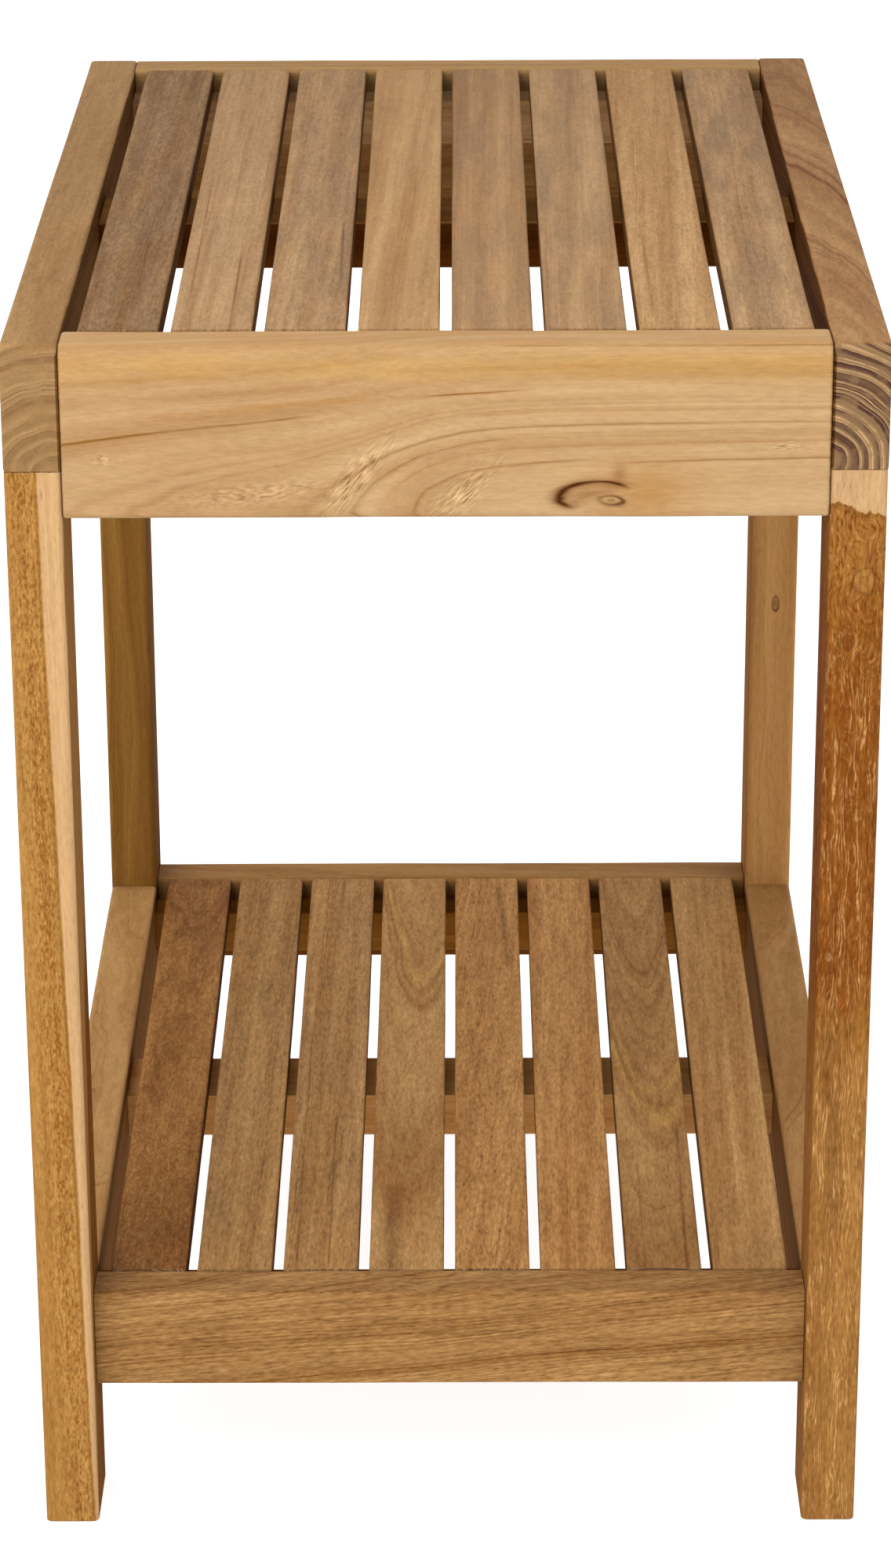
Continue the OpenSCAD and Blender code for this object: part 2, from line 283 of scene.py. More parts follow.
def section(low, high, radii):
    """Points round a board's section, anticlockwise, with a bracing point beside each rounding."""
    def beside(point, angle, reach):
        return point[0] - math.sin(angle) * reach, point[1] + math.cos(angle) * reach

    corners = [(low[0], low[1], 1, 1), (high[0], low[1], -1, 1),
               (high[0], high[1], -1, -1), (low[0], high[1], 1, -1)]
    points = []
    for turn, ((a, b, a_in, b_in), radius) in enumerate(zip(corners, radii)):
        angles = [math.pi * (1 + turn / 2 + step / ARC_STEPS / 2) for step in range(ARC_STEPS + 1)]
        arc = [(a + radius * (a_in + math.cos(angle)), b + radius * (b_in + math.sin(angle)))
               for angle in angles]
        points += [beside(arc[0], angles[0], -BRACE), *arc, beside(arc[-1], angles[-1], BRACE)]
    return points


def stations(length, start_r, finish_r):
    """Distances along a board where it gets a ring of vertices: close together round its ends."""
    def round_end(radius):
        turns = [radius * (1 - math.cos(math.pi / 2 * step / ARC_STEPS)) for step in range(ARC_STEPS + 1)]
        return turns + [radius + BRACE]

    first = round_end(start_r)
    last = [length - distance for distance in reversed(round_end(finish_r))]
    count = max(int((last[0] - first[-1]) / STATION_GAP), 1)
    between = [first[-1] + (last[0] - first[-1]) * step / count for step in range(1, count)]
    return first + between + last


def wander(number, way, share):
    """A slow, even-tempered wave between -1 and 1 along a board, different for each board and way."""
    phase = number * BOARD_PHASE + way * WAY_PHASE
    return sum(height * math.sin(pace * share + part * phase) for height, pace, part in WANDER)


def log_place(timber, axis, offset, share, number):
    """Where a point of a board lay in its log: twice across from the pith, then along the grain."""
    from_pith = offset - timber.pith - timber.lean * share - timber.bow * share * share
    from_pith = from_pith - timber.swerve * math.tanh((share - SWERVE_AT) / SWERVE_LENGTH)
    a, b = across(axis)
    return (from_pith[a], from_pith[b], from_pith[axis] + LOG_STEP * number)


def store(mesh, name, values, kind="FLOAT"):
    """Gives each vertex of a mesh its value in a new attribute."""
    field = {"FLOAT": "value", "FLOAT_VECTOR": "vector", "FLOAT_COLOR": "color"}[kind]
    mesh.attributes.new(name, kind, "POINT").data.foreach_set(field, values)


def store_timber(mesh, timbers):
    """Writes one timber for each vertex into the attributes that the teak material reads."""
    for name in ("pale", "deep"):
        colours = [part for timber in timbers for part in (*getattr(timber, name), 1.0)]
        store(mesh, name, colours, "FLOAT_COLOR")
    for name, traits in TRAITS.items():
        store(mesh, name, [getattr(timber, trait) for timber in timbers for trait in traits], "FLOAT_VECTOR")
    store(mesh, "sap", [timber.sap for timber in timbers])


def board_mesh(name, low, high, axis, edges, timber, number):
    """A board with rounded edges between two corners, carrying its timber as attributes."""
    a, b = across(axis)
    middle = (low + high) / 2
    size = (high - low) / MM
    outer = math.copysign(1, middle[a]) if abs(middle[a]) > MM else 0
    verts, faces = [], []
    # inner and fade carry painted shade: a face turned from the light, and the darker far end
    carried = {"wood": [], "endness": [], "inner": [], "fade": [], "wane": []}

    def add_vertex(vert, share, endness, takes_painted_shade):
        offset = (vert - middle) / MM
        verts.append(vert)
        carried["wood"] += log_place(timber, axis, offset, share, number)
        carried["endness"].append(endness)
        carried["inner"].append(timber.inner if takes_painted_shade else 0.0)
        carried["fade"].append(timber.fade * (share + 1) / 2)
        carried["wane"].append(timber.above_wane(offset))

    for distance in stations(size[axis], *(max(radii) for radii in edges.ends)):
        share = distance / size[axis] * 2 - 1
        near, radii = (distance, edges.ends[0]) if share < 0 else (size[axis] - distance, edges.ends[1])
        side, bottom, top = [inset_at(radius, near) if near < radius else 0.0 for radius in radii]
        uneven = [PLANED * (1 + wander(number, way, share)) for way in FACE_WAYS]
        low_ab = (-size[a] / 2 + side + uneven[0], -size[b] / 2 + bottom + uneven[1])
        high_ab = (size[a] / 2 - side - uneven[2], size[b] / 2 - top - uneven[3])
        sanded = [radius * (1 + HAND * wander(number, way, share))
                  for way, radius in zip(EDGE_WAYS, edges.long)]
        for point_a, point_b in section(low_ab, high_ab, sanded):
            offset = Vector((0, 0, 0))
            offset[a], offset[b], offset[axis] = point_a, point_b, distance - size[axis] / 2
            # Painted shade goes on a face turned to the next board below the top, and on an end rail's end
            # at its joint
            turned_in = abs(point_a) > size[a] / 2 - side - SHADE_EDGE_REACH and point_a * outer <= 0
            in_joint = axis == X and near < JOINT
            takes_painted_shade = in_joint or (turned_in and point_b < size[b] / 2 - edges.shade_from)
            add_vertex(middle + offset * MM, share, max(1 - near / max(radii), 0.0), takes_painted_shade)
    around = len(section((0, 0), (1, 1), edges.long))
    last = len(verts) - around
    for first in range(0, last, around):
        for spot in range(around):
            here, there = first + spot, first + (spot + 1) % around
            faces.append((here, there, there + around, here + around))
    for first, share in ((0, -1), (last, 1)):
        rim, cap = verts[first:first + around], len(verts)
        centre = sum(rim, Vector()) / around
        for edge in rim:
            add_vertex(edge + (centre - edge).normalized() * BRACE * MM, share, 1.0, False)
        end = [tuple(cap + spot for spot in reversed(range(around)))]
        for spot in range(around):
            after = (spot + 1) % around
            end.append((first + spot, cap + spot, cap + after, first + after))
        faces += end if share < 0 else [face[::-1] for face in end]
    if axis == Y:
        faces = [face[::-1] for face in faces]
    mesh = bpy.data.meshes.new(name)
    mesh.from_pydata(verts, [], faces)
    mesh.shade_smooth()
    for label, values in carried.items():
        store(mesh, label, values, "FLOAT_VECTOR" if label == "wood" else "FLOAT")
    store_timber(mesh, [timber] * len(verts))
    return mesh


def piece_from(name, mesh, nodes):
    """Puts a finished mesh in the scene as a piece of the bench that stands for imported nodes."""
    piece = bpy.data.objects.new(name, mesh)
    bpy.context.scene.collection.objects.link(piece)
    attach(piece, "root")
    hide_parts(*nodes)
    return piece


# ---- node trees, written as sums ----


class Value:
    """One output in a node tree. Sums on it add Math nodes."""

    def __init__(self, tree, socket):
        self.tree = tree
        self.socket = socket

    def math(self, operation, *others, clamp=False):
        settings = {"operation": operation, "use_clamp": clamp}
        return self.tree.node("ShaderNodeMath", settings, dict(enumerate((self, *others))))

    def __add__(self, other):
        return self.math("ADD", other)

    def __sub__(self, other):
        return self.math("SUBTRACT", other)

    def __mul__(self, other):
        return self.math("MULTIPLY", other)

    def __truediv__(self, other):
        return self.math("DIVIDE", other)

    def __pow__(self, other):
        return self.math("POWER", other)

    def __radd__(self, other):
        return self + other

    def __rmul__(self, other):
        return self * other

    def __rsub__(self, other):
        return self.tree.node("ShaderNodeMath", {"operation": "SUBTRACT"}, {0: other, 1: self})

    def clamped(self):
        return self.math("ADD", 0.0, clamp=True)

    def near(self, at, width):
        """1 where this is at, falling away smoothly within about width on both sides."""
        away = (self - at) / width
        return (away * away * -1).math("EXPONENT")

    def between(self, low, high):
        """0 below low and 1 above high, with a smooth step between them."""
        settings = {"interpolation_type": "SMOOTHSTEP"}
        return self.tree.node("ShaderNodeMapRange", settings, {0: self, 1: low, 2: high, 3: 0.0, 4: 1.0})

    def within(self, start, end, fade):
        """1 from start to end and 0 beyond them, with smooth steps that reach fade to both sides."""
        return self.between(start - fade, start + fade) * (1 - self.between(end - fade, end + fade))


class Tree:
    """A shader or geometry node tree, and the one method that adds any node to it."""

    def __init__(self, node_tree):
        self.node_tree = node_tree

    def fill(self, node, inputs):
        """Links a node's inputs, by name or number, or sets them."""
        for name, given in inputs.items():
            if isinstance(given, Value):
                self.node_tree.links.new(given.socket, node.inputs[name])
            else:
                node.inputs[name].default_value = given

    def node(self, kind, settings=None, inputs=None, output=0):
        """Adds a node, sets it, fills its inputs and returns one output."""
        made = self.node_tree.nodes.new(kind)
        for name, setting in (settings or {}).items():
            setattr(made, name, setting)
        self.fill(made, inputs or {})
        return Value(self, made.outputs[output]) if made.outputs else None

    def vector(self, operation, first, second):
        return self.node("ShaderNodeVectorMath", {"operation": operation}, {0: first, 1: second})

    def split(self, vector):
        x = self.node("ShaderNodeSeparateXYZ", None, {0: vector})
        return [Value(self, output) for output in x.socket.node.outputs]

    def join(self, x, y, z):
        return self.node("ShaderNodeCombineXYZ", None, {0: x, 1: y, 2: z})

    def attribute(self, name, output="Vector"):
        return self.node("ShaderNodeAttribute", {"attribute_name": name}, None, output)

    def mix(self, factor, first, second):
        """Mixes two colours, each of them a link or three numbers."""
        first, second = [given if isinstance(given, Value) else (*given, 1.0) for given in (first, second)]
        return self.node("ShaderNodeMix", {"data_type": "RGBA"}, {0: factor, 6: first, 7: second}, 2)

    def noise(self, place, scale=1.0, detail=2.0, roughness=0.5, output=0):
        """Noise from 0 to 1 in space."""
        inputs = {"Vector": place, "Scale": scale, "Detail": detail, "Roughness": roughness}
        return self.node("ShaderNodeTexNoise", None, inputs, output)

    def line_noise(self, place, detail):
        """Noise from 0 to 1 along a line."""
        inputs = {"W": place, "Scale": 1.0, "Detail": detail}
        return self.node("ShaderNodeTexNoise", {"noise_dimensions": "1D"}, inputs)

    def grain(self, place, width, length, detail=2.0, roughness=0.5):
        """Noise with patches this wide and, along the grain, this long, in millimetres."""
        spot = self.vector("MULTIPLY", place, (1 / width, 1 / width, 1 / length))
        return self.noise(spot, detail=detail, roughness=roughness)

    def bump(self, height, strength, depth):
        """A normal that follows a height, whose full depth is in metres."""
        return self.node("ShaderNodeBump", None, {"Strength": strength, "Distance": depth, "Height": height})


# ---- finishes ----

FAR = 20000.0  # further along than any board reaches, in millimetres
SEAM_FADE = 9.0  # half the length in which a seam begins or ends, in millimetres
ACROSS_U, ACROSS_V = 0, 1
HALF = 0.5  # the middle of a noise

# Patches of noise: width across and length along the grain in millimetres, then detail and roughness
DRIFT = (30.0, 150.0)
RIPPLE = (7.0, 40.0)
MOTTLE = (4.5, 10.0, 3.0, 0.6)
CLOUD = (10.0, 75.0, 3.0, 0.6)
CURL = (0.7, 1.8, 2.0, 0.55)
SWIRL = (1.0, 4.5, 2.0, 0.55)
FIBRE = (0.55, 60.0, 3.0, 0.6)
SPECKLE = (1.0, 4.5, 2.0, 0.65)
BLOTCH = (2.6, 30.0, 1.5)
PORE = (0.42, 4.0, 1.0)
SWAY = (5.0, 24.0, 3.0)
THREAD_GAPS = (1.6, 16.0)
SEAM_GAPS = (9.0, 40.0)
TINT_END = (5.0, 14.0)
SAW_MARKS = (6.0, 90.0)
# Layers that follow the growth: width from year to year and length in millimetres, then detail
BROAD_LAYERS, FINE_LAYERS, STREAK_LAYERS = (7.0, 420.0), (1.1, 170.0, 3.0), (3.0, 300.0)
LAYER_ROUND = 9.0  # how much longer a layer is round the log than from year to year

# Spans over which a mark comes in, as levels of its noise
STREAKS_IN, DUSK_IN, PORES_IN = (0.1, 0.3), (0.4, 0.62), (0.58, 0.74)
DARK_FLECKS_IN, PALE_FLECKS_IN = (0.02, 0.12), (0.05, 0.16)
DARK_CURLS_IN, PALE_CURLS_IN = (0.0, 0.16), (0.05, 0.22)
THREADS_IN, SEAMS_IN, SAW_MARKS_IN = (0.44, 0.62), (0.3, 0.6), (0.35, 0.55)

# Spans within one year's growth, as shares of the year
LATE_WOOD, EARLY_WOOD = (0.5, 1.0), (0.0, 0.35)
YEAR_SEAM_IN, YEAR_SEAM_OUT = (0.0, 0.05), (0.05, 0.16)
END_RING_IN, END_RING_OUT = (0.35, 0.97), (0.97, 1.0)
YEAR_SWING, YEAR_PACE = 1.2, 2.25  # how unevenly wide the years are, and how fast that changes

# How strongly each part of the figure moves the tone from pale wood, at 0, to deep wood, at 1
BASE_TONE, BROAD_TONE, RING_TONE, CLOUD_TONE, STREAK_TONE = 0.32, 1.35, 1.1, 0.9, 0.5
# How strongly each part of the texture changes the light that the surface gives back
FINE_LIGHT, FIBRE_LIGHT, PORE_LIGHT, SPECKLE_LIGHT, BLOTCH_LIGHT = 0.45, 0.7, 0.4, 0.8, 0.35
# How much each of them changes the roughness and the height of the surface
SPECKLE_ROUGH, PORE_ROUGH, RING_ROUGH, INNER_ROUGH = 0.15, 0.2, 0.04, 1.5
FIBRE_HEIGHT, RING_HEIGHT = 0.5, 0.3
BURN = (1.0, 1.15, 1.35)  # powers by which less light takes red, green and blue
SHADE_BURN = (1.0, 1.4, 2.2)  # the same for the painted shade of wood that is turned away from the light
DRIFT_SHARE, RIPPLE_SHARE = 4.0, 0.4  # how far growth strays slowly and quickly, in shares of its wave
RIPPLE_LEAST = 0.6  # how far it strays quickly where it has no wave, in millimetres
FLECK_BAND = 6.5  # half the width of the band in which flecks lie, in millimetres
DARK_FLECKS, PALE_FLECKS = 0.75, 0.7  # how strongly the flecks cover the wood
WANE_RIPPLE, WANE_MOTTLE, WANE_FINE = 5.0, 5.0, 1.5  # how far each noise moves the wane, in millimetres
EDGE_FINE = 0.8  # how far the fine layers move the sapwood's edge, in millimetres
SAP_IN, SAP_STRENGTH = (-0.4, 0.4), 0.9  # span in which the sapwood comes in, in millimetres
DARK_LINE_AT, DARK_LINE_WIDTH, DARK_LINE = -0.8, 0.5, 0.6  # place, width and strength of the line beside it
PALE_LINES = ((0.1, 0.045, 1.0), (0.3, 0.05, 0.6))  # the same for two lines in each year of the end grain
OPEN_GRAIN_DEPTH = 0.12 * MM
SHADED_TOP = (-1.0, -0.5)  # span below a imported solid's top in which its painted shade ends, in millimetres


def new_material(name):
    """A material with nodes, its tree and its main shader."""
    material = bpy.data.materials.new(name)
    material.use_nodes = True
    return material, Tree(material.node_tree), material.node_tree.nodes["Principled BSDF"]


def growth_on_mesh(tree):
    """Reads a timber and a place in its log from the attributes of the bench's own boards."""
    wood = {"place": tree.attribute("wood")}
    for name in ("pale", "deep"):
        wood[name] = tree.attribute(name, "Color")
    for name, traits in TRAITS.items():
        wood.update(zip(traits, tree.split(tree.attribute(name))))
    for name in ("sap", "wane", "endness", "inner", "fade"):
        wood[name] = tree.attribute(name, "Fac")
    return SimpleNamespace(**wood)


def growth_in_place(timber, axis, number, top=None):
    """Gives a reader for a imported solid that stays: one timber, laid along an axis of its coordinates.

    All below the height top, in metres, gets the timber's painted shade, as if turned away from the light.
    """
    def read(tree):
        place = tree.node("ShaderNodeTexCoord", None, None, "Object")
        in_mm = tree.split(tree.vector("MULTIPLY", place, (1 / MM, 1 / MM, 1 / MM)))
        a, b = across(axis)
        log = (in_mm[a] - timber.pith[a], in_mm[b] - timber.pith[b], in_mm[axis] + LOG_STEP * number)
        inner = 0.0
        if top is not None:
            # Painted shade on all below the top
            inner = (1 - in_mm[Z].between(*(top / MM + below for below in SHADED_TOP))) * timber.inner
        here = {"place": tree.join(*log), "wane": NO_WANE, "endness": 0.0, "inner": inner}
        return SimpleNamespace(**{**vars(timber), **here})
    return read


def year_rings(tree, radius, wood):
    """The dark edges of the years' growth, its early wood, and how far through its year each place grew."""
    years = radius / wood.ring
    years = years + YEAR_SWING * tree.line_noise(years * YEAR_PACE, 1.0)
    part = years.math("FRACT")
    luck = tree.node("ShaderNodeTexWhiteNoise", {"noise_dimensions": "1D"}, {"W": years.math("FLOOR")})
    late = part.between(*LATE_WOOD) ** 2.0
    early = (1 - part.between(*EARLY_WOOD)) ** 1.5
    seam = part.between(*YEAR_SEAM_IN) * (1 - part.between(*YEAR_SEAM_OUT))
    return (late * 0.5 + early * 0.35 + seam * 0.5) * (0.15 + 0.85 * luck * luck), early, part


def pale_threads(tree, u, v, place):
    """Thin wavy lines of pale fibre along the grain, broken into lengths."""
    apart, sway, width, slant = 1.2, 7.0, 0.16, 0.8
    phase = (u + v * slant) / apart + (tree.grain(place, *SWAY) - HALF) * sway
    return phase.math("FRACT").near(HALF, width) * tree.grain(place, *THREAD_GAPS).between(*THREADS_IN)


def swirls(tree, place):
    """Short strokes that follow a grain which turns this way and that, from -0.5 to 0.5."""
    pace, reach = (0.09, 0.09, 0.06), (15.0, 15.0, 24.0)
    turn = tree.noise(tree.vector("MULTIPLY", place, pace), detail=1.0, output="Color")
    bent = tree.vector("ADD", place, tree.vector("MULTIPLY", turn, reach))
    return tree.grain(bent, *SWIRL) - HALF


def end_grain(tree, colour, wood, part, finish):
    """Lays the year rings of a sawn end over the colour: dark late wood and two thin pale lines."""
    cut = wood.endness.between(0.3, 0.8) * (wood.lines * 1.3).math("MINIMUM", 1.0)
    sawn = cut * (0.3 + 0.7 * tree.grain(wood.place, *SAW_MARKS).between(*SAW_MARKS_IN))
    dark = part.between(*END_RING_IN) ** 1.2 * (1 - part.between(*END_RING_OUT))
    bright = sum(part.near(at, width) * strength for at, width, strength in PALE_LINES)
    colour = tree.mix(cut * 0.75, colour, finish.end_grain)
    colour = tree.mix((sawn * dark).clamped(), colour, finish.end_ring)
    return tree.mix((sawn * bright * 1.1).clamped(), colour, CREAM)


def teak(name, read, finish, seams=(), knots=(), patches=(), tints=(), gloss=None):
    """Sanded teak: growth rings, pores, fibres, figure and sapwood, all cut from one solid log.

    seams, knots, patches and tints are the marks that one board has and the others lack. gloss is given
    where a board was left rougher than the rest.
    """
    material, tree, shader = new_material(name)
    wood = read(tree)
    u, v, along = tree.split(wood.place)

    # Distance from the pith, which strays as the tree grew
    drift = tree.grain(wood.place, *DRIFT) - HALF
    ripple = tree.grain(wood.place, *RIPPLE) - HALF
    radius = (u * u + v * v) ** 0.5 + drift * wood.wave * DRIFT_SHARE
    radius = radius + ripple * (wood.wave * RIPPLE_SHARE + RIPPLE_LEAST)
    hearts = [knot.distance(u, v, along, ripple) for knot in knots]
    for knot, heart in zip(knots, hearts):
        radius = radius - knot.push * heart.near(0.0, knot.reach)
    rings, early, part = year_rings(tree, radius, wood)

    def layers(width, length, detail=2.0):
        """Noise that follows the growth: narrow from year to year, long along and round the log."""
        spot = tree.join(radius / width, (u - v) / (width * LAYER_ROUND), along / length)
        return tree.noise(spot, detail=detail) - HALF

    # Tone, from the timber's pale colour to its deep one
    fine = layers(*FINE_LAYERS)
    mottle = tree.grain(wood.place, *MOTTLE) - HALF
    clouds = mottle * wood.mottle * (1 - wood.endness * 0.8)
    streak = layers(*STREAK_LAYERS).between(*STREAKS_IN) * wood.streaks
    tones = BASE_TONE + layers(*BROAD_LAYERS) * BROAD_TONE + rings * wood.lines * RING_TONE
    tones = tones + clouds * CLOUD_TONE + streak * STREAK_TONE
    colour = tree.mix(tones.clamped(), wood.pale, wood.deep)
    for seam in seams:
        colour = seam.paint(tree, colour, radius, along, wood.place)

    # Patches that damp or light has veiled, curly flecks and pale threads
    colour = tree.mix(tree.grain(wood.place, *CLOUD).between(*DUSK_IN) * wood.dusk, colour, SMOKE)
    for tint in tints:
        colour = tint.paint(tree, colour, along, wood.place)
    curl = tree.grain(wood.place, *CURL) - HALF
    flecked = radius.near(wood.fleck_at, FLECK_BAND) * wood.flecks
    colour = tree.mix((-1 * curl).between(*DARK_FLECKS_IN) * flecked * DARK_FLECKS, colour, wood.deep)
    colour = tree.mix(curl.between(*PALE_FLECKS_IN) * flecked * PALE_FLECKS, colour, GOLD)
    colour = tree.mix(pale_threads(tree, u, v, wood.place) * wood.threads, colour, THREAD)

    # Sapwood under the bark, and the rings of the end grain
    above = wood.wane + (ripple * WANE_RIPPLE + mottle * WANE_MOTTLE + fine * WANE_FINE)
    edge = (radius - wood.sap).math("MAXIMUM", above)
    sapwood = (edge + fine * EDGE_FINE).between(*SAP_IN) * SAP_STRENGTH
    colour = tree.mix(edge.near(DARK_LINE_AT, DARK_LINE_WIDTH) * DARK_LINE, colour, WALNUT)
    colour = tree.mix(sapwood, colour, finish.sapwood)
    if isinstance(wood.endness, Value):
        colour = end_grain(tree, colour, wood, part, finish)
    for knot, heart in zip(knots, hearts):
        colour = knot.paint(tree, colour, heart, u, v, along, fine)

    # Fibres, pores and grit change how much light the surface gives back, and burn its colour a little;
    # painted shade darkens a board's far end and the faces turned from the light
    fibre = tree.grain(wood.place, *FIBRE) - HALF
    speckle = tree.grain(wood.place, *SPECKLE) - HALF
    blotch = tree.grain(wood.place, *BLOTCH) - HALF
    rough_cut = wood.speckle * (1 - sapwood * 0.6) * (1 - wood.endness * 0.7)
    pores = tree.grain(wood.place, *PORE).between(*PORES_IN) * (0.3 + 0.7 * early) * wood.pores
    light = 1 + (fine * FINE_LIGHT + fibre * FIBRE_LIGHT) * wood.fibre - pores * PORE_LIGHT
    light = light + (speckle * SPECKLE_LIGHT + blotch * BLOTCH_LIGHT) * rough_cut
    for patch in patches:
        light = light + patch.strokes(tree, v, along)
    # Painted shade: the board's far end is darker, as if less light reached it
    light = light * (1 - wood.fade)
    # Painted shade: wood turned to the next board or away from the light is darker and warmer
    unshaded = 1 - wood.inner
    colour = tree.vector("MULTIPLY", colour, tree.join(*(light ** power for power in BURN)))
    colour = tree.vector("MULTIPLY", colour, tree.join(*(unshaded ** power for power in SHADE_BURN)))

    rough = finish.roughness + speckle * SPECKLE_ROUGH + pores * PORE_ROUGH - rings * RING_ROUGH
    rough = rough + wood.inner * INNER_ROUGH
    height = fibre * FIBRE_HEIGHT - pores - rings * wood.lines * RING_HEIGHT
    tree.fill(shader, {
        "Base Color": colour,
        "Roughness": rough.clamped(),
        "Normal": tree.bump(height, finish.relief, OPEN_GRAIN_DEPTH),
        "Specular IOR Level": finish.gloss if gloss is None else gloss,
    })
    return material


@dataclass
class Seam:
    """A layer that stands out: where it lies, how wide and strong it is, its colour and its reach along.

    at is a distance from the pith. Where the seam is straight and has a slope, it is a distance across, in
    the direction that side names, and holds at the seam's start.
    """

    at: float
    width: float
    strength: float
    colour: tuple
    start: float = -FAR
    end: float = FAR
    slope: float = None
    side: int = ACROSS_V

    def paint(self, tree, colour, radius, along, place):
        level = radius
        if self.slope is not None:
            level = tree.split(place)[self.side] - (along - self.start) * self.slope
        strength = (0.4 + 0.6 * tree.grain(place, *SEAM_GAPS).between(*SEAMS_IN)) * self.strength
        strength = strength * along.within(self.start, self.end, SEAM_FADE)
        return tree.mix(level.near(self.at, self.width) * strength, colour, self.colour)


@dataclass
class Tint:
    """A length of a board whose wood has another tone, and how many pale threads and dark curls it has."""

    colour: tuple
    strength: float
    start: float = -FAR
    end: float = FAR
    fade: float = 10.0
    threads: float = 0.0
    curls: float = 0.0

    def paint(self, tree, colour, along, place):
        ragged = along + (tree.grain(place, *TINT_END) - HALF) * self.fade * 2
        here = ragged.within(self.start, self.end, self.fade)
        colour = tree.mix(here * self.strength, colour, self.colour)
        if self.threads:
            u, v, _ = tree.split(place)
            colour = tree.mix(pale_threads(tree, u, v, place) * here * self.threads, colour, THREAD)
        if self.curls:
            stroke, curled = swirls(tree, place), here * self.curls
            colour = tree.mix(stroke.between(*DARK_CURLS_IN) * curled, colour, CHESTNUT)
            colour = tree.mix((-1 * stroke).between(*PALE_CURLS_IN) * curled * 0.35, colour, THREAD)
        return colour


@dataclass
class Patch:
    """Short strokes in one spot of a board: its middle, its half sizes, their slope, size and strength."""

    place: float
    level: float
    half_length: float
    half_height: float
    slope: float
    strength: float
    stroke: tuple = (0.8, 7.0)

    def strokes(self, tree, v, along):
        """How much lighter or darker each stroke is than the wood around it."""
        side, up = along - self.place, v - self.level
        cos, sin = math.cos(self.slope), math.sin(self.slope)
        run, rise = side * cos + up * sin, up * cos - side * sin
        width, length = self.stroke
        noise = tree.noise(tree.join(rise / width, run / length, self.place), detail=1.0) - HALF
        return noise * run.near(0.0, self.half_length) * rise.near(0.0, self.half_height) * self.strength


@dataclass
class Knot:
    """A small knot that a branch left: its place in the log, its size, and how far it pushes the rings.

    place is along the grain and level across it, in the direction that side names. flat squeezes it across
    the grain. Its eye lies apart from its middle by eye, along and across.
    """

    place: float
    level: float
    side: int
    size: float
    flat: float
    reach: float
    push: float
    eye: tuple = (0.0, 0.0)
    rim: float = 0.9
    glow: float = 0.5
    heart: tuple = COCOA
    all_round: bool = False

    def offsets(self, u, v, along, shift=(0.0, 0.0)):
        """How far a point is from the knot's middle, along the grain and across it."""
        across_grain = (u, v)[self.side] - (self.level + shift[1])
        return along - (self.place + shift[0]), across_grain / self.flat

    def distance(self, u, v, along, ripple):
        side, up = self.offsets(u, v, along)
        return (side * side + up * up) ** 0.5 + ripple * 7.0

    def paint(self, tree, colour, heart, u, v, along, fine):
        """Lays the knot over the colour: a glow beside it, its heart, its shade, its rim and its eye."""
        size = self.size
        side, up = self.offsets(u, v, along)
        eye_side, eye_up = self.offsets(u, v, along, self.eye)
        pupil = (eye_side * eye_side + eye_up * eye_up) ** 0.5
        lit = 1.0 if self.all_round else (up * 1.1 - side).between(-6.0, 6.0)
        thick = 0.09 + 0.12 * (0 - side / size).clamped() + fine * 0.25
        rim = (heart + fine * size * 0.45).near(size, size * thick) * lit * self.rim
        halo = heart.near(size, size * 0.3) * lit * self.rim * 0.5
        lid = (pupil + fine * size * 0.6).near(size * 0.34, size * 0.11) * (0.85 + eye_side / size)
        core = pupil.near(size * 0.06, size * 0.05)
        warmth = (1 - heart.between(size * 0.7, size * 1.15)) * lit * (0.45 + fine * 1.5)
        glow = side.near(size * 1.4, size * 1.2) * up.near(size * 0.3, size * 2.0)
        smudge = side.near(size * 0.6, 2.5) * up.near(size * 1.6, size * 0.6)
        colour = tree.mix(glow * self.glow, colour, AMBER)
        colour = tree.mix(warmth.clamped(), colour, self.heart)
        colour = tree.mix((halo + smudge * self.glow).clamped(), colour, COCOA)
        return tree.mix((rim + (lid + core * 0.6).clamped() * 0.8 * self.rim).clamped(), colour, BARK)


def on_board(number, *marks):
    """Marks whose places along the grain are counted from the middle of one board, moved to its sample."""
    moved = []
    for mark in marks:
        places = {name: getattr(mark, name) for name in ("start", "end", "place") if hasattr(mark, name)}
        moved.append(replace(mark, **{name: place + LOG_STEP * number for name, place in places.items()}))
    return tuple(moved)


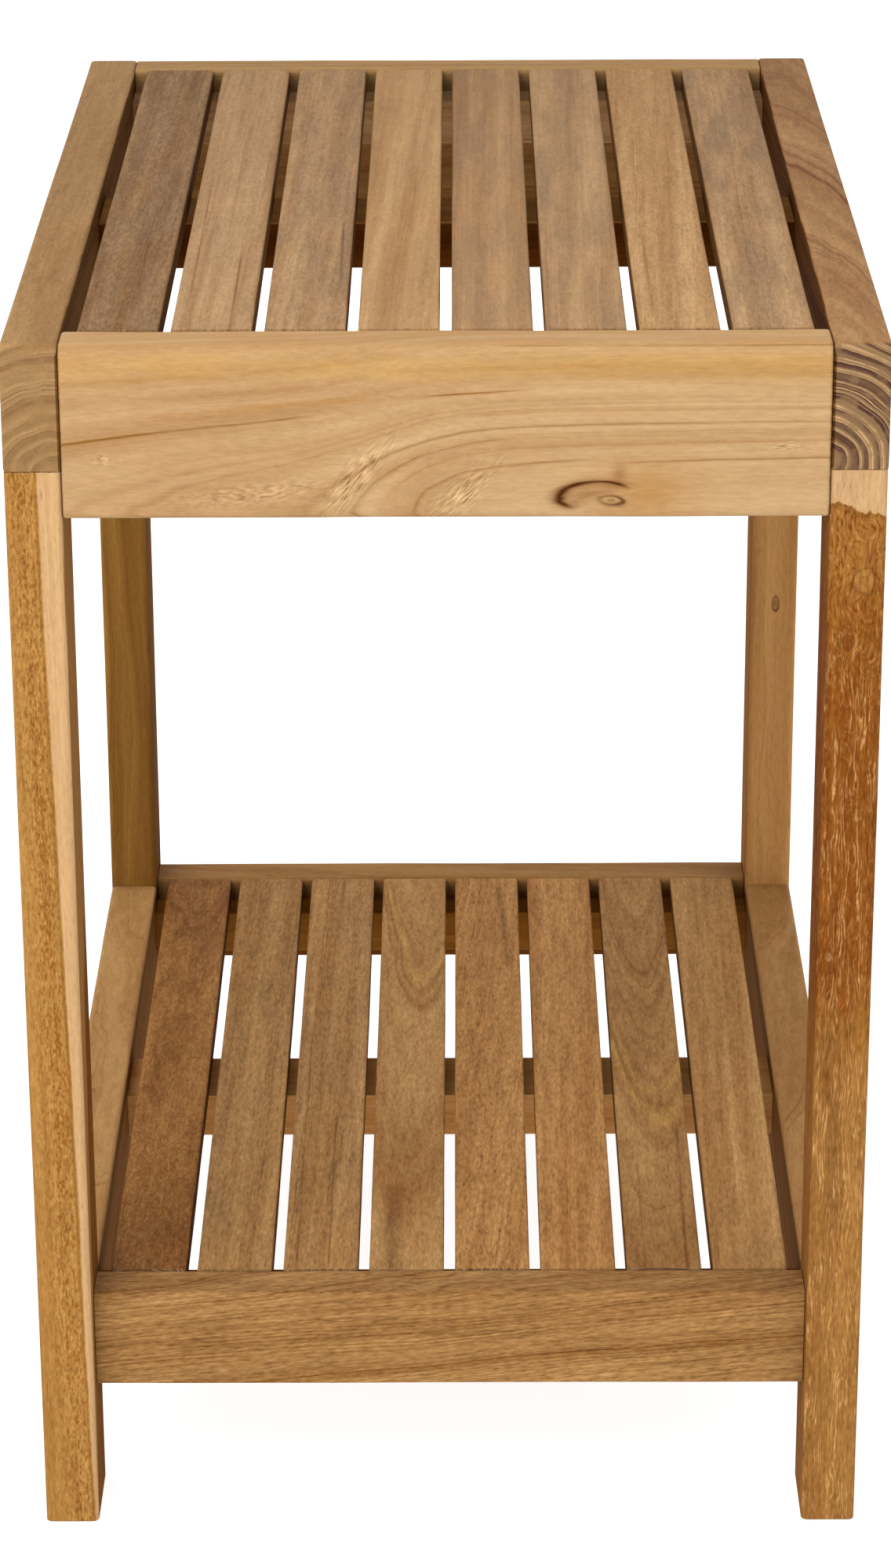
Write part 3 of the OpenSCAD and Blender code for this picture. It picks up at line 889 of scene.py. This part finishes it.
# What one board or row has that the others lack
MARKS = {
    "seat_end_rail_front": {
        "seams": (
            Seam(54.0, 6.0, 0.55, GOLD, slope=0.0),
            Seam(62.0, 1.6, 0.6, STRAW, slope=0.0),
            Seam(61.0, 0.3, 0.6, COCOA, 20.0, slope=0.0),
            Seam(64.2, 1.6, 0.75, BISCUIT, end=-30.0),
            Seam(57.2, 0.25, 1.0, WALNUT, end=-50.0),
            Seam(60.3, 0.6, 0.4, TAN, end=-20.0),
            Seam(39.4, 0.8, 0.5, TAN, -74.0, 20.0, slope=0.062),
            Seam(43.6, 0.3, 1.0, COCOA, -6.0, 26.0, slope=0.062),
            Seam(52.7, 0.8, 0.45, TAN, -15.0, 60.0, slope=0.02),
            Seam(48.3, 0.5, 0.45, OAK, 10.0),
            Seam(44.5, 0.35, 0.6, COCOA, -50.0),
            Seam(41.8, 0.3, 0.65, COCOA, -45.0, 20.0),
            Seam(39.4, 0.3, 0.5, OAK, -20.0),
            Seam(36.1, 0.25, 0.65, COCOA, -14.0, 45.0),
            Seam(35.2, 0.25, 0.6, COCOA, 60.0),
        ),
        "patches": (
            Patch(-31.0, 15.0, 17.0, 4.0, 0.87, 2.6, (0.6, 5.0)),
            Patch(6.0, 9.5, 13.0, 4.5, 0.75, 2.6, (0.6, 5.0)),
            Patch(-66.0, 9.0, 26.0, 3.5, 0.1, 1.6, (0.9, 3.0)),
            Patch(117.0, 25.5, 6.0, 1.4, 0.0, 2.4, (0.5, 3.0)),
            Patch(-118.0, 21.5, 3.0, 2.0, 0.0, 1.8, (0.8, 2.0)),
        ),
        "knots": (Knot(52.3, 7.4, ACROSS_V, 12.4, 0.42, 15.0, 2.0, (4.6, -1.0), 1.0, 0.6),),
    },
    "leg_front_right": {
        "tints": on_board(
            5,
            Tint(CINNAMON, 0.45, 165.0, 200.0),
            Tint(RUSSET, 0.35, 125.0, 205.0, curls=0.85),
            Tint(CHESTNUT, 0.55, 0.0, 140.0, 28.0, 0.7, 0.5),
            Tint(OAK, 0.5, -FAR, -15.0, 35.0, 0.7)),
        "knots": on_board(
            5,
            Knot(166.0, -41.6, ACROSS_U, 4.5, 0.9, 10.0, 6.0, (0, 0), 0.35, 0.0, CINNAMON, True),
            Knot(143.6, -46.4, ACROSS_U, 2.6, 0.8, 6.0, 2.0, (0, 0), 0.4, 0.0, CHESTNUT, True),
            Knot(24.4, -50.0, ACROSS_U, 1.8, 0.8, 6.0, 3.0, (0, 0), 0.5, 0.0, CREAM, True)),
    },
    "leg_back_right": {
        "knots": on_board(7, Knot(18.6, 50.4, ACROSS_U, 2.6, 0.5, 5.0, 1.5, (0, 0), 0.8, 0.0, BARK, True)),
    },
    "seat_slats": {
        "seams": (
            *on_board(1, Seam(53.0, 0.35, 0.7, CHESTNUT, -160.0, -10.0, -0.015, ACROSS_U),
                      Seam(69.5, 0.4, 0.8, CHESTNUT, -215.0, -90.0, -0.015, ACROSS_U)),
            *on_board(2, Seam(55.5, 2.2, 0.5, SMOKE, -150.0, -20.0, -0.0245, ACROSS_U),
                      Seam(54.5, 0.5, 0.6, BARK, -150.0, -60.0, -0.03, ACROSS_U)),
            *on_board(5, Seam(-60.5, 2.6, 0.45, SMOKE, -40.0, 60.0, -0.015, ACROSS_U)),
            *on_board(6, Seam(44.5, 1.6, 0.6, HONEY, -200.0, -60.0, -0.03, ACROSS_U),
                      Seam(47.0, 0.5, 0.6, COCOA, -190.0, -80.0, -0.03, ACROSS_U)),
        ),
    },
    "shelf_slats": {
        "seams": (
            *on_board(2, Seam(45.0, 0.4, 0.6, BARK, -200.0, 20.0, -0.02, ACROSS_U),
                      Seam(57.0, 0.4, 0.5, BARK, -200.0, -60.0, -0.02, ACROSS_U)),
            *on_board(3, Seam(-9.0, 3.4, 0.75, BARK, -215.0, -130.0, 0.01, ACROSS_U),
                      Seam(24.6, 0.35, 0.6, COCOA, 0.0, 190.0),
                      Seam(23.4, 0.3, 0.6, COCOA, 0.0, 190.0),
                      Seam(22.5, 0.5, 0.5, GOLD, 20.0, 190.0),
                      Seam(21.4, 0.3, 0.5, COCOA, 20.0, 200.0)),
            *on_board(4, Seam(45.0, 1.8, 0.5, BARK, 100.0, 190.0, -0.08, ACROSS_U)),
            *on_board(6, Seam(28.8, 0.5, 0.55, GOLD, -90.0, 90.0),
                      Seam(28.1, 0.25, 0.6, COCOA, -90.0, 90.0),
                      Seam(27.2, 0.4, 0.45, GOLD, -80.0, 100.0),
                      Seam(26.4, 0.25, 0.5, COCOA, -80.0, 100.0),
                      Seam(6.5, 0.5, 0.6, BARK, -210.0, -70.0, 0.01, ACROSS_U),
                      Seam(-9.0, 0.4, 0.4, BARK, -210.0, -100.0, 0.0, ACROSS_U)),
        ),
        "tints": (Tint(TAN, 0.1, end=230.0, curls=0.4), Tint(COCOA, 0.2, end=-60.0, fade=40.0, curls=0.3)),
    },
}

STEEL_PALE, STEEL_DARK = (0.66, 0.65, 0.63), (0.5, 0.49, 0.47)
LATHE_LINES = 45.0  # per millimetre of radius or height
SCRATCH_SCALE, DUST_SCALE = 2600.0, 900.0  # per metre
SCRATCHES_IN, DUST_IN = (0.55, 0.75), (0.45, 0.7)
RECESS_DEPTHS, RECESS_EDGE = (0.05, 1.1), (1.9, 2.3)  # where dust gathers, in millimetres
LATHE_DEPTH = 0.02 * MM


def stainless_steel(name):
    """Turned and polished steel: fine rings from the lathe, small scratches and dust in the recess."""
    material, tree, shader = new_material(name)
    radius, height, _ = tree.split(tree.attribute("turned"))
    place = tree.node("ShaderNodeTexCoord", None, None, "Object")
    lathe = tree.line_noise((radius + height) * LATHE_LINES, 2.0)
    scratch = tree.noise(place, SCRATCH_SCALE, 3.0)
    in_recess = height.between(*RECESS_DEPTHS) * (1 - radius.between(*RECESS_EDGE))
    dust = (tree.noise(place, DUST_SCALE).between(*DUST_IN) * 0.3 + in_recess * 0.5).clamped()
    rough = 0.24 + lathe * 0.12 + scratch.between(*SCRATCHES_IN) * 0.2 + dust * 0.3
    tree.fill(shader, {
        "Base Color": tree.mix(dust, tree.mix(lathe, STEEL_DARK, STEEL_PALE), SMOKE),
        "Metallic": 1 - dust * 0.8,
        "Roughness": rough.clamped(),
        "Normal": tree.bump(lathe + scratch * 0.5, 0.3, LATHE_DEPTH),
    })
    return material


# ---- settings ----

COLOUR = {"subtype": "COLOR", "min": 0.0, "max": 1.0}
FACTOR = {"subtype": "FACTOR", "min": 0.0, "max": 1.0}


class TeakBenchFinish(bpy.types.PropertyGroup):
    """How the sanded teak looks."""

    sapwood: FloatVectorProperty(
        name="Sapwood", description="Colour of the wood under the bark", default=CREAM, **COLOUR)
    end_grain: FloatVectorProperty(
        name="End Grain", description="Cast of the boards' ends", default=OLIVE, **COLOUR)
    end_ring: FloatVectorProperty(
        name="End Ring", description="Colour of the rings in the end grain", default=PLUM, **COLOUR)
    roughness: FloatProperty(
        name="Roughness", description="Roughness of the sanded faces", default=0.55, **FACTOR)
    gloss: FloatProperty(
        name="Gloss", description="Strength of the sanded faces' reflections", default=0.02, **FACTOR)
    relief: FloatProperty(
        name="Relief", description="Strength of the open grain's relief", default=0.5, **FACTOR)


class TeakBenchHardware(bpy.types.PropertyGroup):
    """The screws."""

    head: FloatProperty(name="Head", description="Width of a screw's head", default=0.008, unit="LENGTH")
    shank: FloatProperty(name="Shank", description="Width of a screw's shank", default=0.004, unit="LENGTH")
    pitch: FloatProperty(
        name="Pitch", description="Rise of the thread in one turn", default=0.0018, unit="LENGTH")
    sink: FloatProperty(
        name="Sink", description="Depth of a head below the wood", default=0.0004, unit="LENGTH")
    apart: FloatProperty(
        name="Apart", description="Between a cleat's own screws and the slats' screws", default=0.0029,
        unit="LENGTH")
    seed: IntProperty(name="Seed", description="Picks how the screws are turned", default=7)


class TeakBenchStudio(bpy.types.PropertyGroup):
    """The camera, the floor and the lights."""

    camera_place: FloatVectorProperty(
        name="Camera", description="Place of the camera", default=(0.0052, -1.8269, 0.8946),
        subtype="TRANSLATION", unit="LENGTH")
    pitch: FloatProperty(
        name="Pitch", description="How far the camera looks down", default=math.radians(23.287),
        subtype="ANGLE")
    yaw: FloatProperty(
        name="Yaw", description="How far the camera is turned to the right", default=math.radians(-0.219),
        subtype="ANGLE")
    roll: FloatProperty(
        name="Roll", description="How far the camera is tilted to the side", default=math.radians(-0.247),
        subtype="ANGLE")
    lens: FloatProperty(
        name="Lens", description="Focal length for the taller side of the picture", default=110.65,
        unit="CAMERA")
    rise: FloatProperty(name="Rise", description="Upward shift of the lens", default=0.15)
    floor: FloatVectorProperty(
        name="Floor", description="Colour of the floor", default=(0.3, 0.3, 0.3), **COLOUR)
    floor_glow: FloatProperty(
        name="Floor Glow", description="Light from the floor, a lit table", default=0.88)
    sky: FloatProperty(
        name="Sky", description="Strength of the even light from all sides", default=1.25)
    key: FloatProperty(
        name="Key", description="Power of the large light in front", default=13.0, unit="POWER")
    key_size: FloatProperty(
        name="Key Size", description="Width of the large light", default=0.9, unit="LENGTH")
    key_place: FloatVectorProperty(
        name="Key Place", description="Place of the large light", default=(-0.7, -1.2, 1.25),
        subtype="TRANSLATION", unit="LENGTH")


# ---- operators ----


def board_axis(node):
    """The direction in which a frame board's grain runs."""
    if node.startswith("leg"):
        return Z
    return Y if "side_rail" in node else X


def board_box(node):
    """The corners of a board that show. A leg's tenon is inside the side rail, so the leg ends below it."""
    low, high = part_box(node)
    if node.startswith("leg"):
        high.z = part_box("seat_side_rail_left")[0].z
    return low, high


class TEAKBENCH_OT_frame_boards(bpy.types.Operator):
    """Builds the legs and the rails of the seat and the shelf"""

    bl_idname = "teakbench.frame_boards"
    bl_label = "Legs and Rails"

    def execute(self, context):
        finish = context.scene.teak_bench_finish
        plain = teak("teak_frame", growth_on_mesh, finish)
        for number, (node, timber) in enumerate(FRAME_TIMBER.items()):
            low, high = board_box(node)
            kind = next(kind for kind in EDGES if node.startswith(kind))
            mesh = board_mesh(node + "_board", low, high, board_axis(node), EDGES[kind], timber, number)
            wood = teak("teak_" + node, growth_on_mesh, finish, **MARKS[node]) if node in MARKS else plain
            mesh.materials.append(wood)
            piece_from(node + "_board", mesh, [node])
        return {"FINISHED"}


def new_group(name, inputs, result):
    """A geometry node tree with named inputs: its tree, its sockets and their values."""
    group = bpy.data.node_groups.new(name, "GeometryNodeTree")
    sockets = {}
    for label, kind in inputs.items():
        sockets[label] = group.interface.new_socket(label, in_out="INPUT", socket_type="NodeSocket" + kind)
    group.interface.new_socket(result, in_out="OUTPUT", socket_type="NodeSocketGeometry")
    tree = Tree(group)
    given = tree.node("NodeGroupInput")
    return tree, sockets, {label: Value(tree, given.socket.node.outputs[label]) for label in sockets}


def stored(tree, name, kind="FLOAT_VECTOR"):
    """Reads an attribute in a geometry node tree."""
    return tree.node("GeometryNodeInputNamedAttribute", {"data_type": kind}, {"Name": name})


def slat_row_tree():
    """Geometry nodes that lay copies of one board side by side, each cut from its own timber."""
    tree, sockets, field = new_group(
        "slat_row", {"Timber": "Geometry", "Board": "Object", "Pitch": "Float", "Level": "Float",
                     "Half Length": "Float", "Log Step": "Float", "Finish": "Material"}, "Slats")
    index = tree.node("GeometryNodeInputIndex")
    count = tree.node("GeometryNodeAttributeDomainSize", {"component": "MESH"}, {0: field["Timber"]})
    x = (index - (count - 1) / 2) * field["Pitch"]
    points = tree.node("GeometryNodeSetPosition", None,
                       {"Geometry": field["Timber"], "Position": tree.join(x, 0.0, field["Level"])})
    points = tree.node("GeometryNodeStoreNamedAttribute", {"data_type": "FLOAT", "domain": "POINT"},
                       {"Geometry": points, "Name": "number", "Value": index})
    board = tree.node("GeometryNodeObjectInfo", None, {"Object": field["Board"]}, "Geometry")
    row = tree.node("GeometryNodeInstanceOnPoints", None, {"Points": points, "Instance": board})
    row = tree.node("GeometryNodeRealizeInstances", None, {"Geometry": row})

    # Each slat's vertices move from the board's own middle to their place in the slat's log
    own_x, own_z, own_y = tree.split(stored(tree, "wood"))
    share = own_y / field["Half Length"]
    pith, lean = [tree.split(stored(tree, name)) for name in ("pith", "lean")]
    u, v = [own - pith[way] - lean[way] * share for own, way in ((own_x, X), (own_z, Z))]
    w = own_y + stored(tree, "number", "FLOAT") * field["Log Step"]
    row = tree.node("GeometryNodeStoreNamedAttribute", {"data_type": "FLOAT_VECTOR", "domain": "POINT"},
                    {"Geometry": row, "Name": "wood", "Value": tree.join(u, v, w)})
    row = tree.node("GeometryNodeSetMaterial", None, {"Geometry": row, "Material": field["Finish"]})
    tree.node("NodeGroupOutput", None, {0: row})
    return tree, sockets


def grown(points_mesh, tree, sockets, settings, name):
    """Runs a geometry node tree on a mesh of points and returns the result as a plain mesh."""
    seedbed = bpy.data.objects.new(name + "_points", points_mesh)
    bpy.context.scene.collection.objects.link(seedbed)
    modifier = seedbed.modifiers.new("Rows", "NODES")
    modifier.node_group = tree.node_tree
    for label, value in settings.items():
        modifier[sockets[label].identifier] = value
    evaluated = seedbed.evaluated_get(bpy.context.evaluated_depsgraph_get())
    mesh = bpy.data.meshes.new_from_object(evaluated)
    mesh.name = name
    seedbed.modifiers.clear()
    bpy.data.objects.remove(seedbed)
    return mesh


def timber_points(timbers):
    """A loose vertex for each slat, carrying its timber."""
    mesh = bpy.data.meshes.new("slat_timber")
    mesh.from_pydata([(0, 0, 0)] * len(timbers), [], [])
    store_timber(mesh, timbers)
    for name in ("pith", "lean"):
        store(mesh, name, [part for timber in timbers for part in getattr(timber, name)], "FLOAT_VECTOR")
    return mesh


class TEAKBENCH_OT_slats(bpy.types.Operator):
    """Builds the row of slats in the seat and the row in the shelf"""

    bl_idname = "teakbench.slats"
    bl_label = "Slats"

    def execute(self, context):
        finish = context.scene.teak_bench_finish
        tree, sockets = slat_row_tree()
        for row in ROWS:
            nodes = [f"{row}_slat_{number + 1}" for number in range(SLATS)]
            low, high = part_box(nodes[0])
            middle = (low + high) / 2
            plain = Timber(SAND, (0, 0, 0), fade=ROW_FAR_SHADE[row])
            mesh = board_mesh("slat_board", low - middle, high - middle, Y, EDGES["slat"], plain, 0)
            for name in ("pale", "deep", *TRAITS, "sap"):
                mesh.attributes.remove(mesh.attributes[name])
            board = bpy.data.objects.new("slat_board", mesh)
            settings = {
                "Board": board,
                "Pitch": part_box(nodes[1])[0].x - low.x,
                "Level": middle.z,
                "Half Length": (high.y - low.y) / 2 / MM,
                "Log Step": LOG_STEP,
                "Finish": teak(f"teak_{row}_slats", growth_on_mesh, finish, **MARKS[row + "_slats"]),
            }
            slats = grown(timber_points(SLAT_TIMBER[row]), tree, sockets, settings, row + "_slats")
            bpy.data.objects.remove(board)
            piece_from(row + "_slat_row", slats, nodes)
        return {"FINISHED"}


# A screw's forms, in metres
RECESS_MOUTH, RECESS_FLOOR = (0.0022, 0.0009, 0.0), (0.00115, 0.0006, 0.0013)  # an arm's reach, width, depth
RECESS_POINT = 0.0015
BURR = 0.00012  # width of the bevels round the head and under it
AROUND = 16  # faces round a screw, as many as its recess's outline has points
THREAD_STEPS = 5  # rings of vertices in one turn of the thread
THREAD_ROOT, POINT_LENGTH = 0.72, 1.4  # in shares of the shank's radius
THREAD_SLOPE = 4  # of the thread's flanks, which take half of its pitch
POINT_WIDTH = 0.55  # the screw's width half-way along its point, as a share of the thread's root
THREAD_START = 0.32  # where the thread begins, as a share of the length
FLAT_BANDS = 5  # bands of faces in the recess and the head, which are shaded flat


def cross_outline(reach, arm, depth):
    """The outline of a cross recess in sixteen points, anticlockwise from the tip of one arm."""
    quarter = [(reach, 0), (reach, arm / 2), (arm / 2, arm / 2), (arm / 2, reach)]
    turns = [(1, 0), (0, 1), (-1, 0), (0, -1)]
    return [(c * x - s * y, s * x + c * y, depth) for c, s in turns for x, y in quarter]


def screw_mesh(length, hardware):
    """A countersunk screw along Z with its head's face at the origin and its point up."""
    head, shank = hardware.head / 2, hardware.shank / 2
    root, pitch = shank * THREAD_ROOT, hardware.pitch
    thread_start, thread_end = length * THREAD_START, length - shank * POINT_LENGTH
    rings = [cross_outline(*RECESS_FLOOR), cross_outline(*RECESS_MOUTH)]

    def circle(radius_at, height):
        angles = [2 * math.pi * spot / AROUND for spot in range(AROUND)]
        rings.append([(radius_at(a) * math.cos(a), radius_at(a) * math.sin(a), height) for a in angles])

    profile = [(head - BURR, 0.0), (head, BURR), (shank + BURR, head - shank), (shank, head - shank + BURR),
               (shank, thread_start - pitch / 2), (root, thread_start)]
    for radius, height in profile:
        circle(lambda angle, radius=radius: radius, height)
    steps = int((thread_end - thread_start) / pitch * THREAD_STEPS)
    for step in range(1, steps):
        height = thread_start + (thread_end - thread_start) * step / steps

        def thread(angle, height=height):
            turn = (height / pitch - angle / (2 * math.pi)) % 1.0
            return root + (shank - root) * max(0.0, 1 - abs(turn - 0.5) * THREAD_SLOPE)
        circle(thread, height)
    circle(lambda angle: root, thread_end)
    circle(lambda angle: root * POINT_WIDTH, (thread_end + length) / 2)
    verts = [(0, 0, RECESS_POINT)] + [point for ring in rings for point in ring] + [(0, 0, length)]
    faces = [(0, 1 + spot, 1 + (spot + 1) % AROUND) for spot in range(AROUND)]
    for ring in range(len(rings) - 1):
        for spot in range(AROUND):
            here, there = 1 + ring * AROUND + spot, 1 + ring * AROUND + (spot + 1) % AROUND
            faces.append((here, here + AROUND, there + AROUND, there))
    last = 1 + (len(rings) - 1) * AROUND
    faces += [(last + (spot + 1) % AROUND, last + spot, len(verts) - 1) for spot in range(AROUND)]
    mesh = bpy.data.meshes.new("screw")
    mesh.from_pydata(verts, [], [face[::-1] for face in faces])
    smooth = [number >= FLAT_BANDS * AROUND for number in range(len(mesh.polygons))]
    mesh.polygons.foreach_set("use_smooth", smooth)
    turned = [(math.hypot(x, y) / MM, z / MM, 0.0) for x, y, z in verts]
    store(mesh, "turned", sum(turned, ()), "FLOAT_VECTOR")
    return mesh


def slat_screw_places(row, sink):
    """Where a row's screws come up through the two cleats and the cross-bar into the slats."""
    places = []
    for support in (row + "_cleat_front", row + "_cross_bar", row + "_cleat_back"):
        low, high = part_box(support)
        for number in range(SLATS):
            slat_low, slat_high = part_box(f"{row}_slat_{number + 1}")
            places.append(((slat_low.x + slat_high.x) / 2, (low.y + high.y) / 2, low.z + sink))
    return places


def cleat_screw_places(out, sink, step):
    """Where screws go through the inner faces of the cleats at one end: out is -1 in front, 1 behind."""
    places = []
    for row in ROWS:
        low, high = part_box(f"{row}_cleat_{'front' if out < 0 else 'back'}")
        inner = high.y if out < 0 else low.y
        for number in (SLATS // 4, SLATS // 2):
            slat_low, slat_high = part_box(f"{row}_slat_{number}")
            x = step - (slat_low.x + slat_high.x) / 2
            places += [(side * x, inner + out * sink, (low.z + high.z) / 2) for side in (-1, 1)]
    return places


def screw_set_tree():
    """Geometry nodes that put a screw on each point, along the point's direction and turned at random."""
    tree, sockets, field = new_group(
        "screw_set", {"Places": "Geometry", "Screw": "Object", "Seed": "Int", "Finish": "Material"},
        "Screws")
    upright = tree.node("FunctionNodeAlignRotationToVector", {"axis": "Z"}, {"Vector": stored(tree, "way")})
    angle = tree.node("FunctionNodeRandomValue", {"data_type": "FLOAT"},
                      {2: 0.0, 3: 2 * math.pi, "Seed": field["Seed"]}, 1)
    roll = tree.node("FunctionNodeAxisAngleToRotation", None, {"Axis": (0, 0, 1), "Angle": angle})
    turned = tree.node("FunctionNodeRotateRotation", {"rotation_space": "LOCAL"},
                       {"Rotation": upright, "Rotate By": roll})
    screw = tree.node("GeometryNodeObjectInfo", None, {"Object": field["Screw"]}, "Geometry")
    driven = tree.node("GeometryNodeInstanceOnPoints", None,
                       {"Points": field["Places"], "Instance": screw, "Rotation": turned})
    driven = tree.node("GeometryNodeRealizeInstances", None, {"Geometry": driven})
    driven = tree.node("GeometryNodeSetMaterial", None, {"Geometry": driven, "Material": field["Finish"]})
    tree.node("NodeGroupOutput", None, {0: driven})
    return tree, sockets


class TEAKBENCH_OT_screws(bpy.types.Operator):
    """Drives the screws into the slats and through the cleats"""

    bl_idname = "teakbench.screws"
    bl_label = "Screws"

    def execute(self, context):
        hardware = context.scene.teak_bench_hardware
        tree, sockets = screw_set_tree()
        steel = stainless_steel("stainless_steel")
        step = (hardware.head + hardware.shank) / 2 + hardware.apart
        fronts, backs = [cleat_screw_places(out, hardware.sink, step) for out in (-1, 1)]
        low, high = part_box("seat_slat_screws")
        sets = {row + "_slat_screws": (slat_screw_places(row, hardware.sink), high.z - low.z)
                for row in ROWS}
        sets["cleat_screws"] = (fronts + backs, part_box("cleat_screws")[1].y - max(y for _, y, _ in backs))
        for node, (places, length) in sets.items():
            points = bpy.data.meshes.new(node + "_places")
            points.from_pydata(places, [], [])
            outward = node == "cleat_screws"
            ways = [(0, math.copysign(1, y), 0) if outward else (0, 0, 1) for _, y, _ in places]
            store(points, "way", sum(ways, ()), "FLOAT_VECTOR")
            screw = bpy.data.objects.new("screw", screw_mesh(length, hardware))
            settings = {"Screw": screw, "Seed": hardware.seed, "Finish": steel}
            driven = grown(points, tree, sockets, settings, node + "_set")
            bpy.data.objects.remove(screw)
            piece_from(node + "_set", driven, [node])
        return {"FINISHED"}


def refinish(material, *nodes):
    """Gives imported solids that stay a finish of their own."""
    for node in nodes:
        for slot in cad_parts[node].material_slots:
            slot.material = material


class TEAKBENCH_OT_supports(bpy.types.Operator):
    """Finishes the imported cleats, cross-bars and dowels"""

    bl_idname = "teakbench.supports"
    bl_label = "Supports and Dowels"

    def execute(self, context):
        finish = context.scene.teak_bench_finish
        for row in ROWS:
            wood = growth_in_place(CLEAT_TIMBER[row], X, CLEAT_NUMBER)
            cleats = teak(f"teak_{row}_cleats", wood, finish, gloss=0.0)
            refinish(cleats, row + "_cleat_front", row + "_cleat_back")
            node = row + "_cross_bar"
            wood = growth_in_place(CROSS_BAR_TIMBER[row], X, CROSS_BAR_NUMBER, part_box(node)[1].z)
            refinish(teak("teak_" + node, wood, finish, gloss=0.0), node)
        dowels = teak("dowel_wood", growth_in_place(DOWEL_TIMBER, X, DOWEL_NUMBER), finish)
        refinish(dowels, "seat_frame_dowels", "shelf_frame_dowels")
        return {"FINISHED"}


SENSOR = 36.0  # width of the camera's sensor, in millimetres
FLOOR_REACH = 30.0  # from the bench to the floor's edges, in metres
FLOOR_ROUGHNESS = 0.9
KEY_AIM = (0, 0, 0.3)  # the place that the large light faces, in metres
WHITE = (1.0, 1.0, 1.0, 1.0)


class TEAKBENCH_OT_studio(bpy.types.Operator):
    """Sets the camera, the floor and the lights"""

    bl_idname = "teakbench.studio"
    bl_label = "Studio"

    def execute(self, context):
        studio, link = context.scene.teak_bench_studio, context.scene.collection.objects.link
        camera_data = bpy.data.cameras.new("camera")
        camera_data.lens = studio.lens
        camera_data.sensor_width = SENSOR
        camera_data.shift_y = studio.rise
        camera = bpy.data.objects.new("camera", camera_data)
        turn = Matrix.Rotation(-studio.yaw, 4, "Z") @ Matrix.Rotation(math.pi / 2 - studio.pitch, 4, "X")
        turn = turn @ Matrix.Rotation(studio.roll, 4, "Z")
        camera.matrix_world = Matrix.Translation(studio.camera_place) @ turn
        link(camera)
        context.scene.camera = camera

        mesh = bpy.data.meshes.new("floor")
        corners = [(-1, -1), (1, -1), (1, 1), (-1, 1)]
        spots = [(x * FLOOR_REACH, y * FLOOR_REACH, cad_low.z) for x, y in corners]
        mesh.from_pydata(spots, [], [(0, 1, 2, 3)])
        floor = bpy.data.objects.new("floor", mesh)
        material, tree, shader = new_material("floor_white")
        tree.fill(shader, {
            "Base Color": (*studio.floor, 1.0),
            "Emission Color": WHITE,
            "Emission Strength": studio.floor_glow,
            "Roughness": FLOOR_ROUGHNESS,
        })
        mesh.materials.append(material)
        link(floor)

        world = bpy.data.worlds.new("studio")
        world.use_nodes = True
        sky = world.node_tree.nodes["Background"]
        Tree(world.node_tree).fill(sky, {"Color": WHITE, "Strength": studio.sky})
        context.scene.world = world

        light_data = bpy.data.lights.new("key", "AREA")
        light_data.energy = studio.key
        light_data.size = studio.key_size
        light = bpy.data.objects.new("key", light_data)
        place = Vector(studio.key_place)
        aim = (Vector(KEY_AIM) - place).to_track_quat("-Z", "Y").to_matrix().to_4x4()
        light.matrix_world = Matrix.Translation(place) @ aim
        link(light)
        context.scene.view_settings.view_transform = "Standard"
        return {"FINISHED"}


class TEAKBENCH_PT_panel(bpy.types.Panel):
    """Lists the bench's settings and the steps that build it"""

    bl_idname = "TEAKBENCH_PT_panel"
    bl_label = "Teak Shower Bench"
    bl_space_type = "VIEW_3D"
    bl_region_type = "UI"
    bl_category = "Bench"

    def draw(self, context):
        for group in SETTINGS:
            settings, box = getattr(context.scene, group), self.layout.box()
            for name in settings.__annotations__:
                box.prop(settings, name)
        for step in STEPS:
            self.layout.operator(step.bl_idname)


SETTINGS = {
    "teak_bench_finish": TeakBenchFinish,
    "teak_bench_hardware": TeakBenchHardware,
    "teak_bench_studio": TeakBenchStudio,
}
STEPS = (TEAKBENCH_OT_frame_boards, TEAKBENCH_OT_slats, TEAKBENCH_OT_screws, TEAKBENCH_OT_supports,
         TEAKBENCH_OT_studio)
CLASSES = (*SETTINGS.values(), *STEPS, TEAKBENCH_PT_panel)


def register():
    for cls in CLASSES:
        bpy.utils.register_class(cls)
    for name, group in SETTINGS.items():
        setattr(bpy.types.Scene, name, PointerProperty(type=group))


def unregister():
    for name in SETTINGS:
        delattr(bpy.types.Scene, name)
    for cls in reversed(CLASSES):
        bpy.utils.unregister_class(cls)


def main():
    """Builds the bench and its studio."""
    register()
    bpy.ops.teakbench.frame_boards()
    bpy.ops.teakbench.slats()
    bpy.ops.teakbench.screws()
    bpy.ops.teakbench.supports()
    bpy.ops.teakbench.studio()


if __name__ == "__main__":
    main()
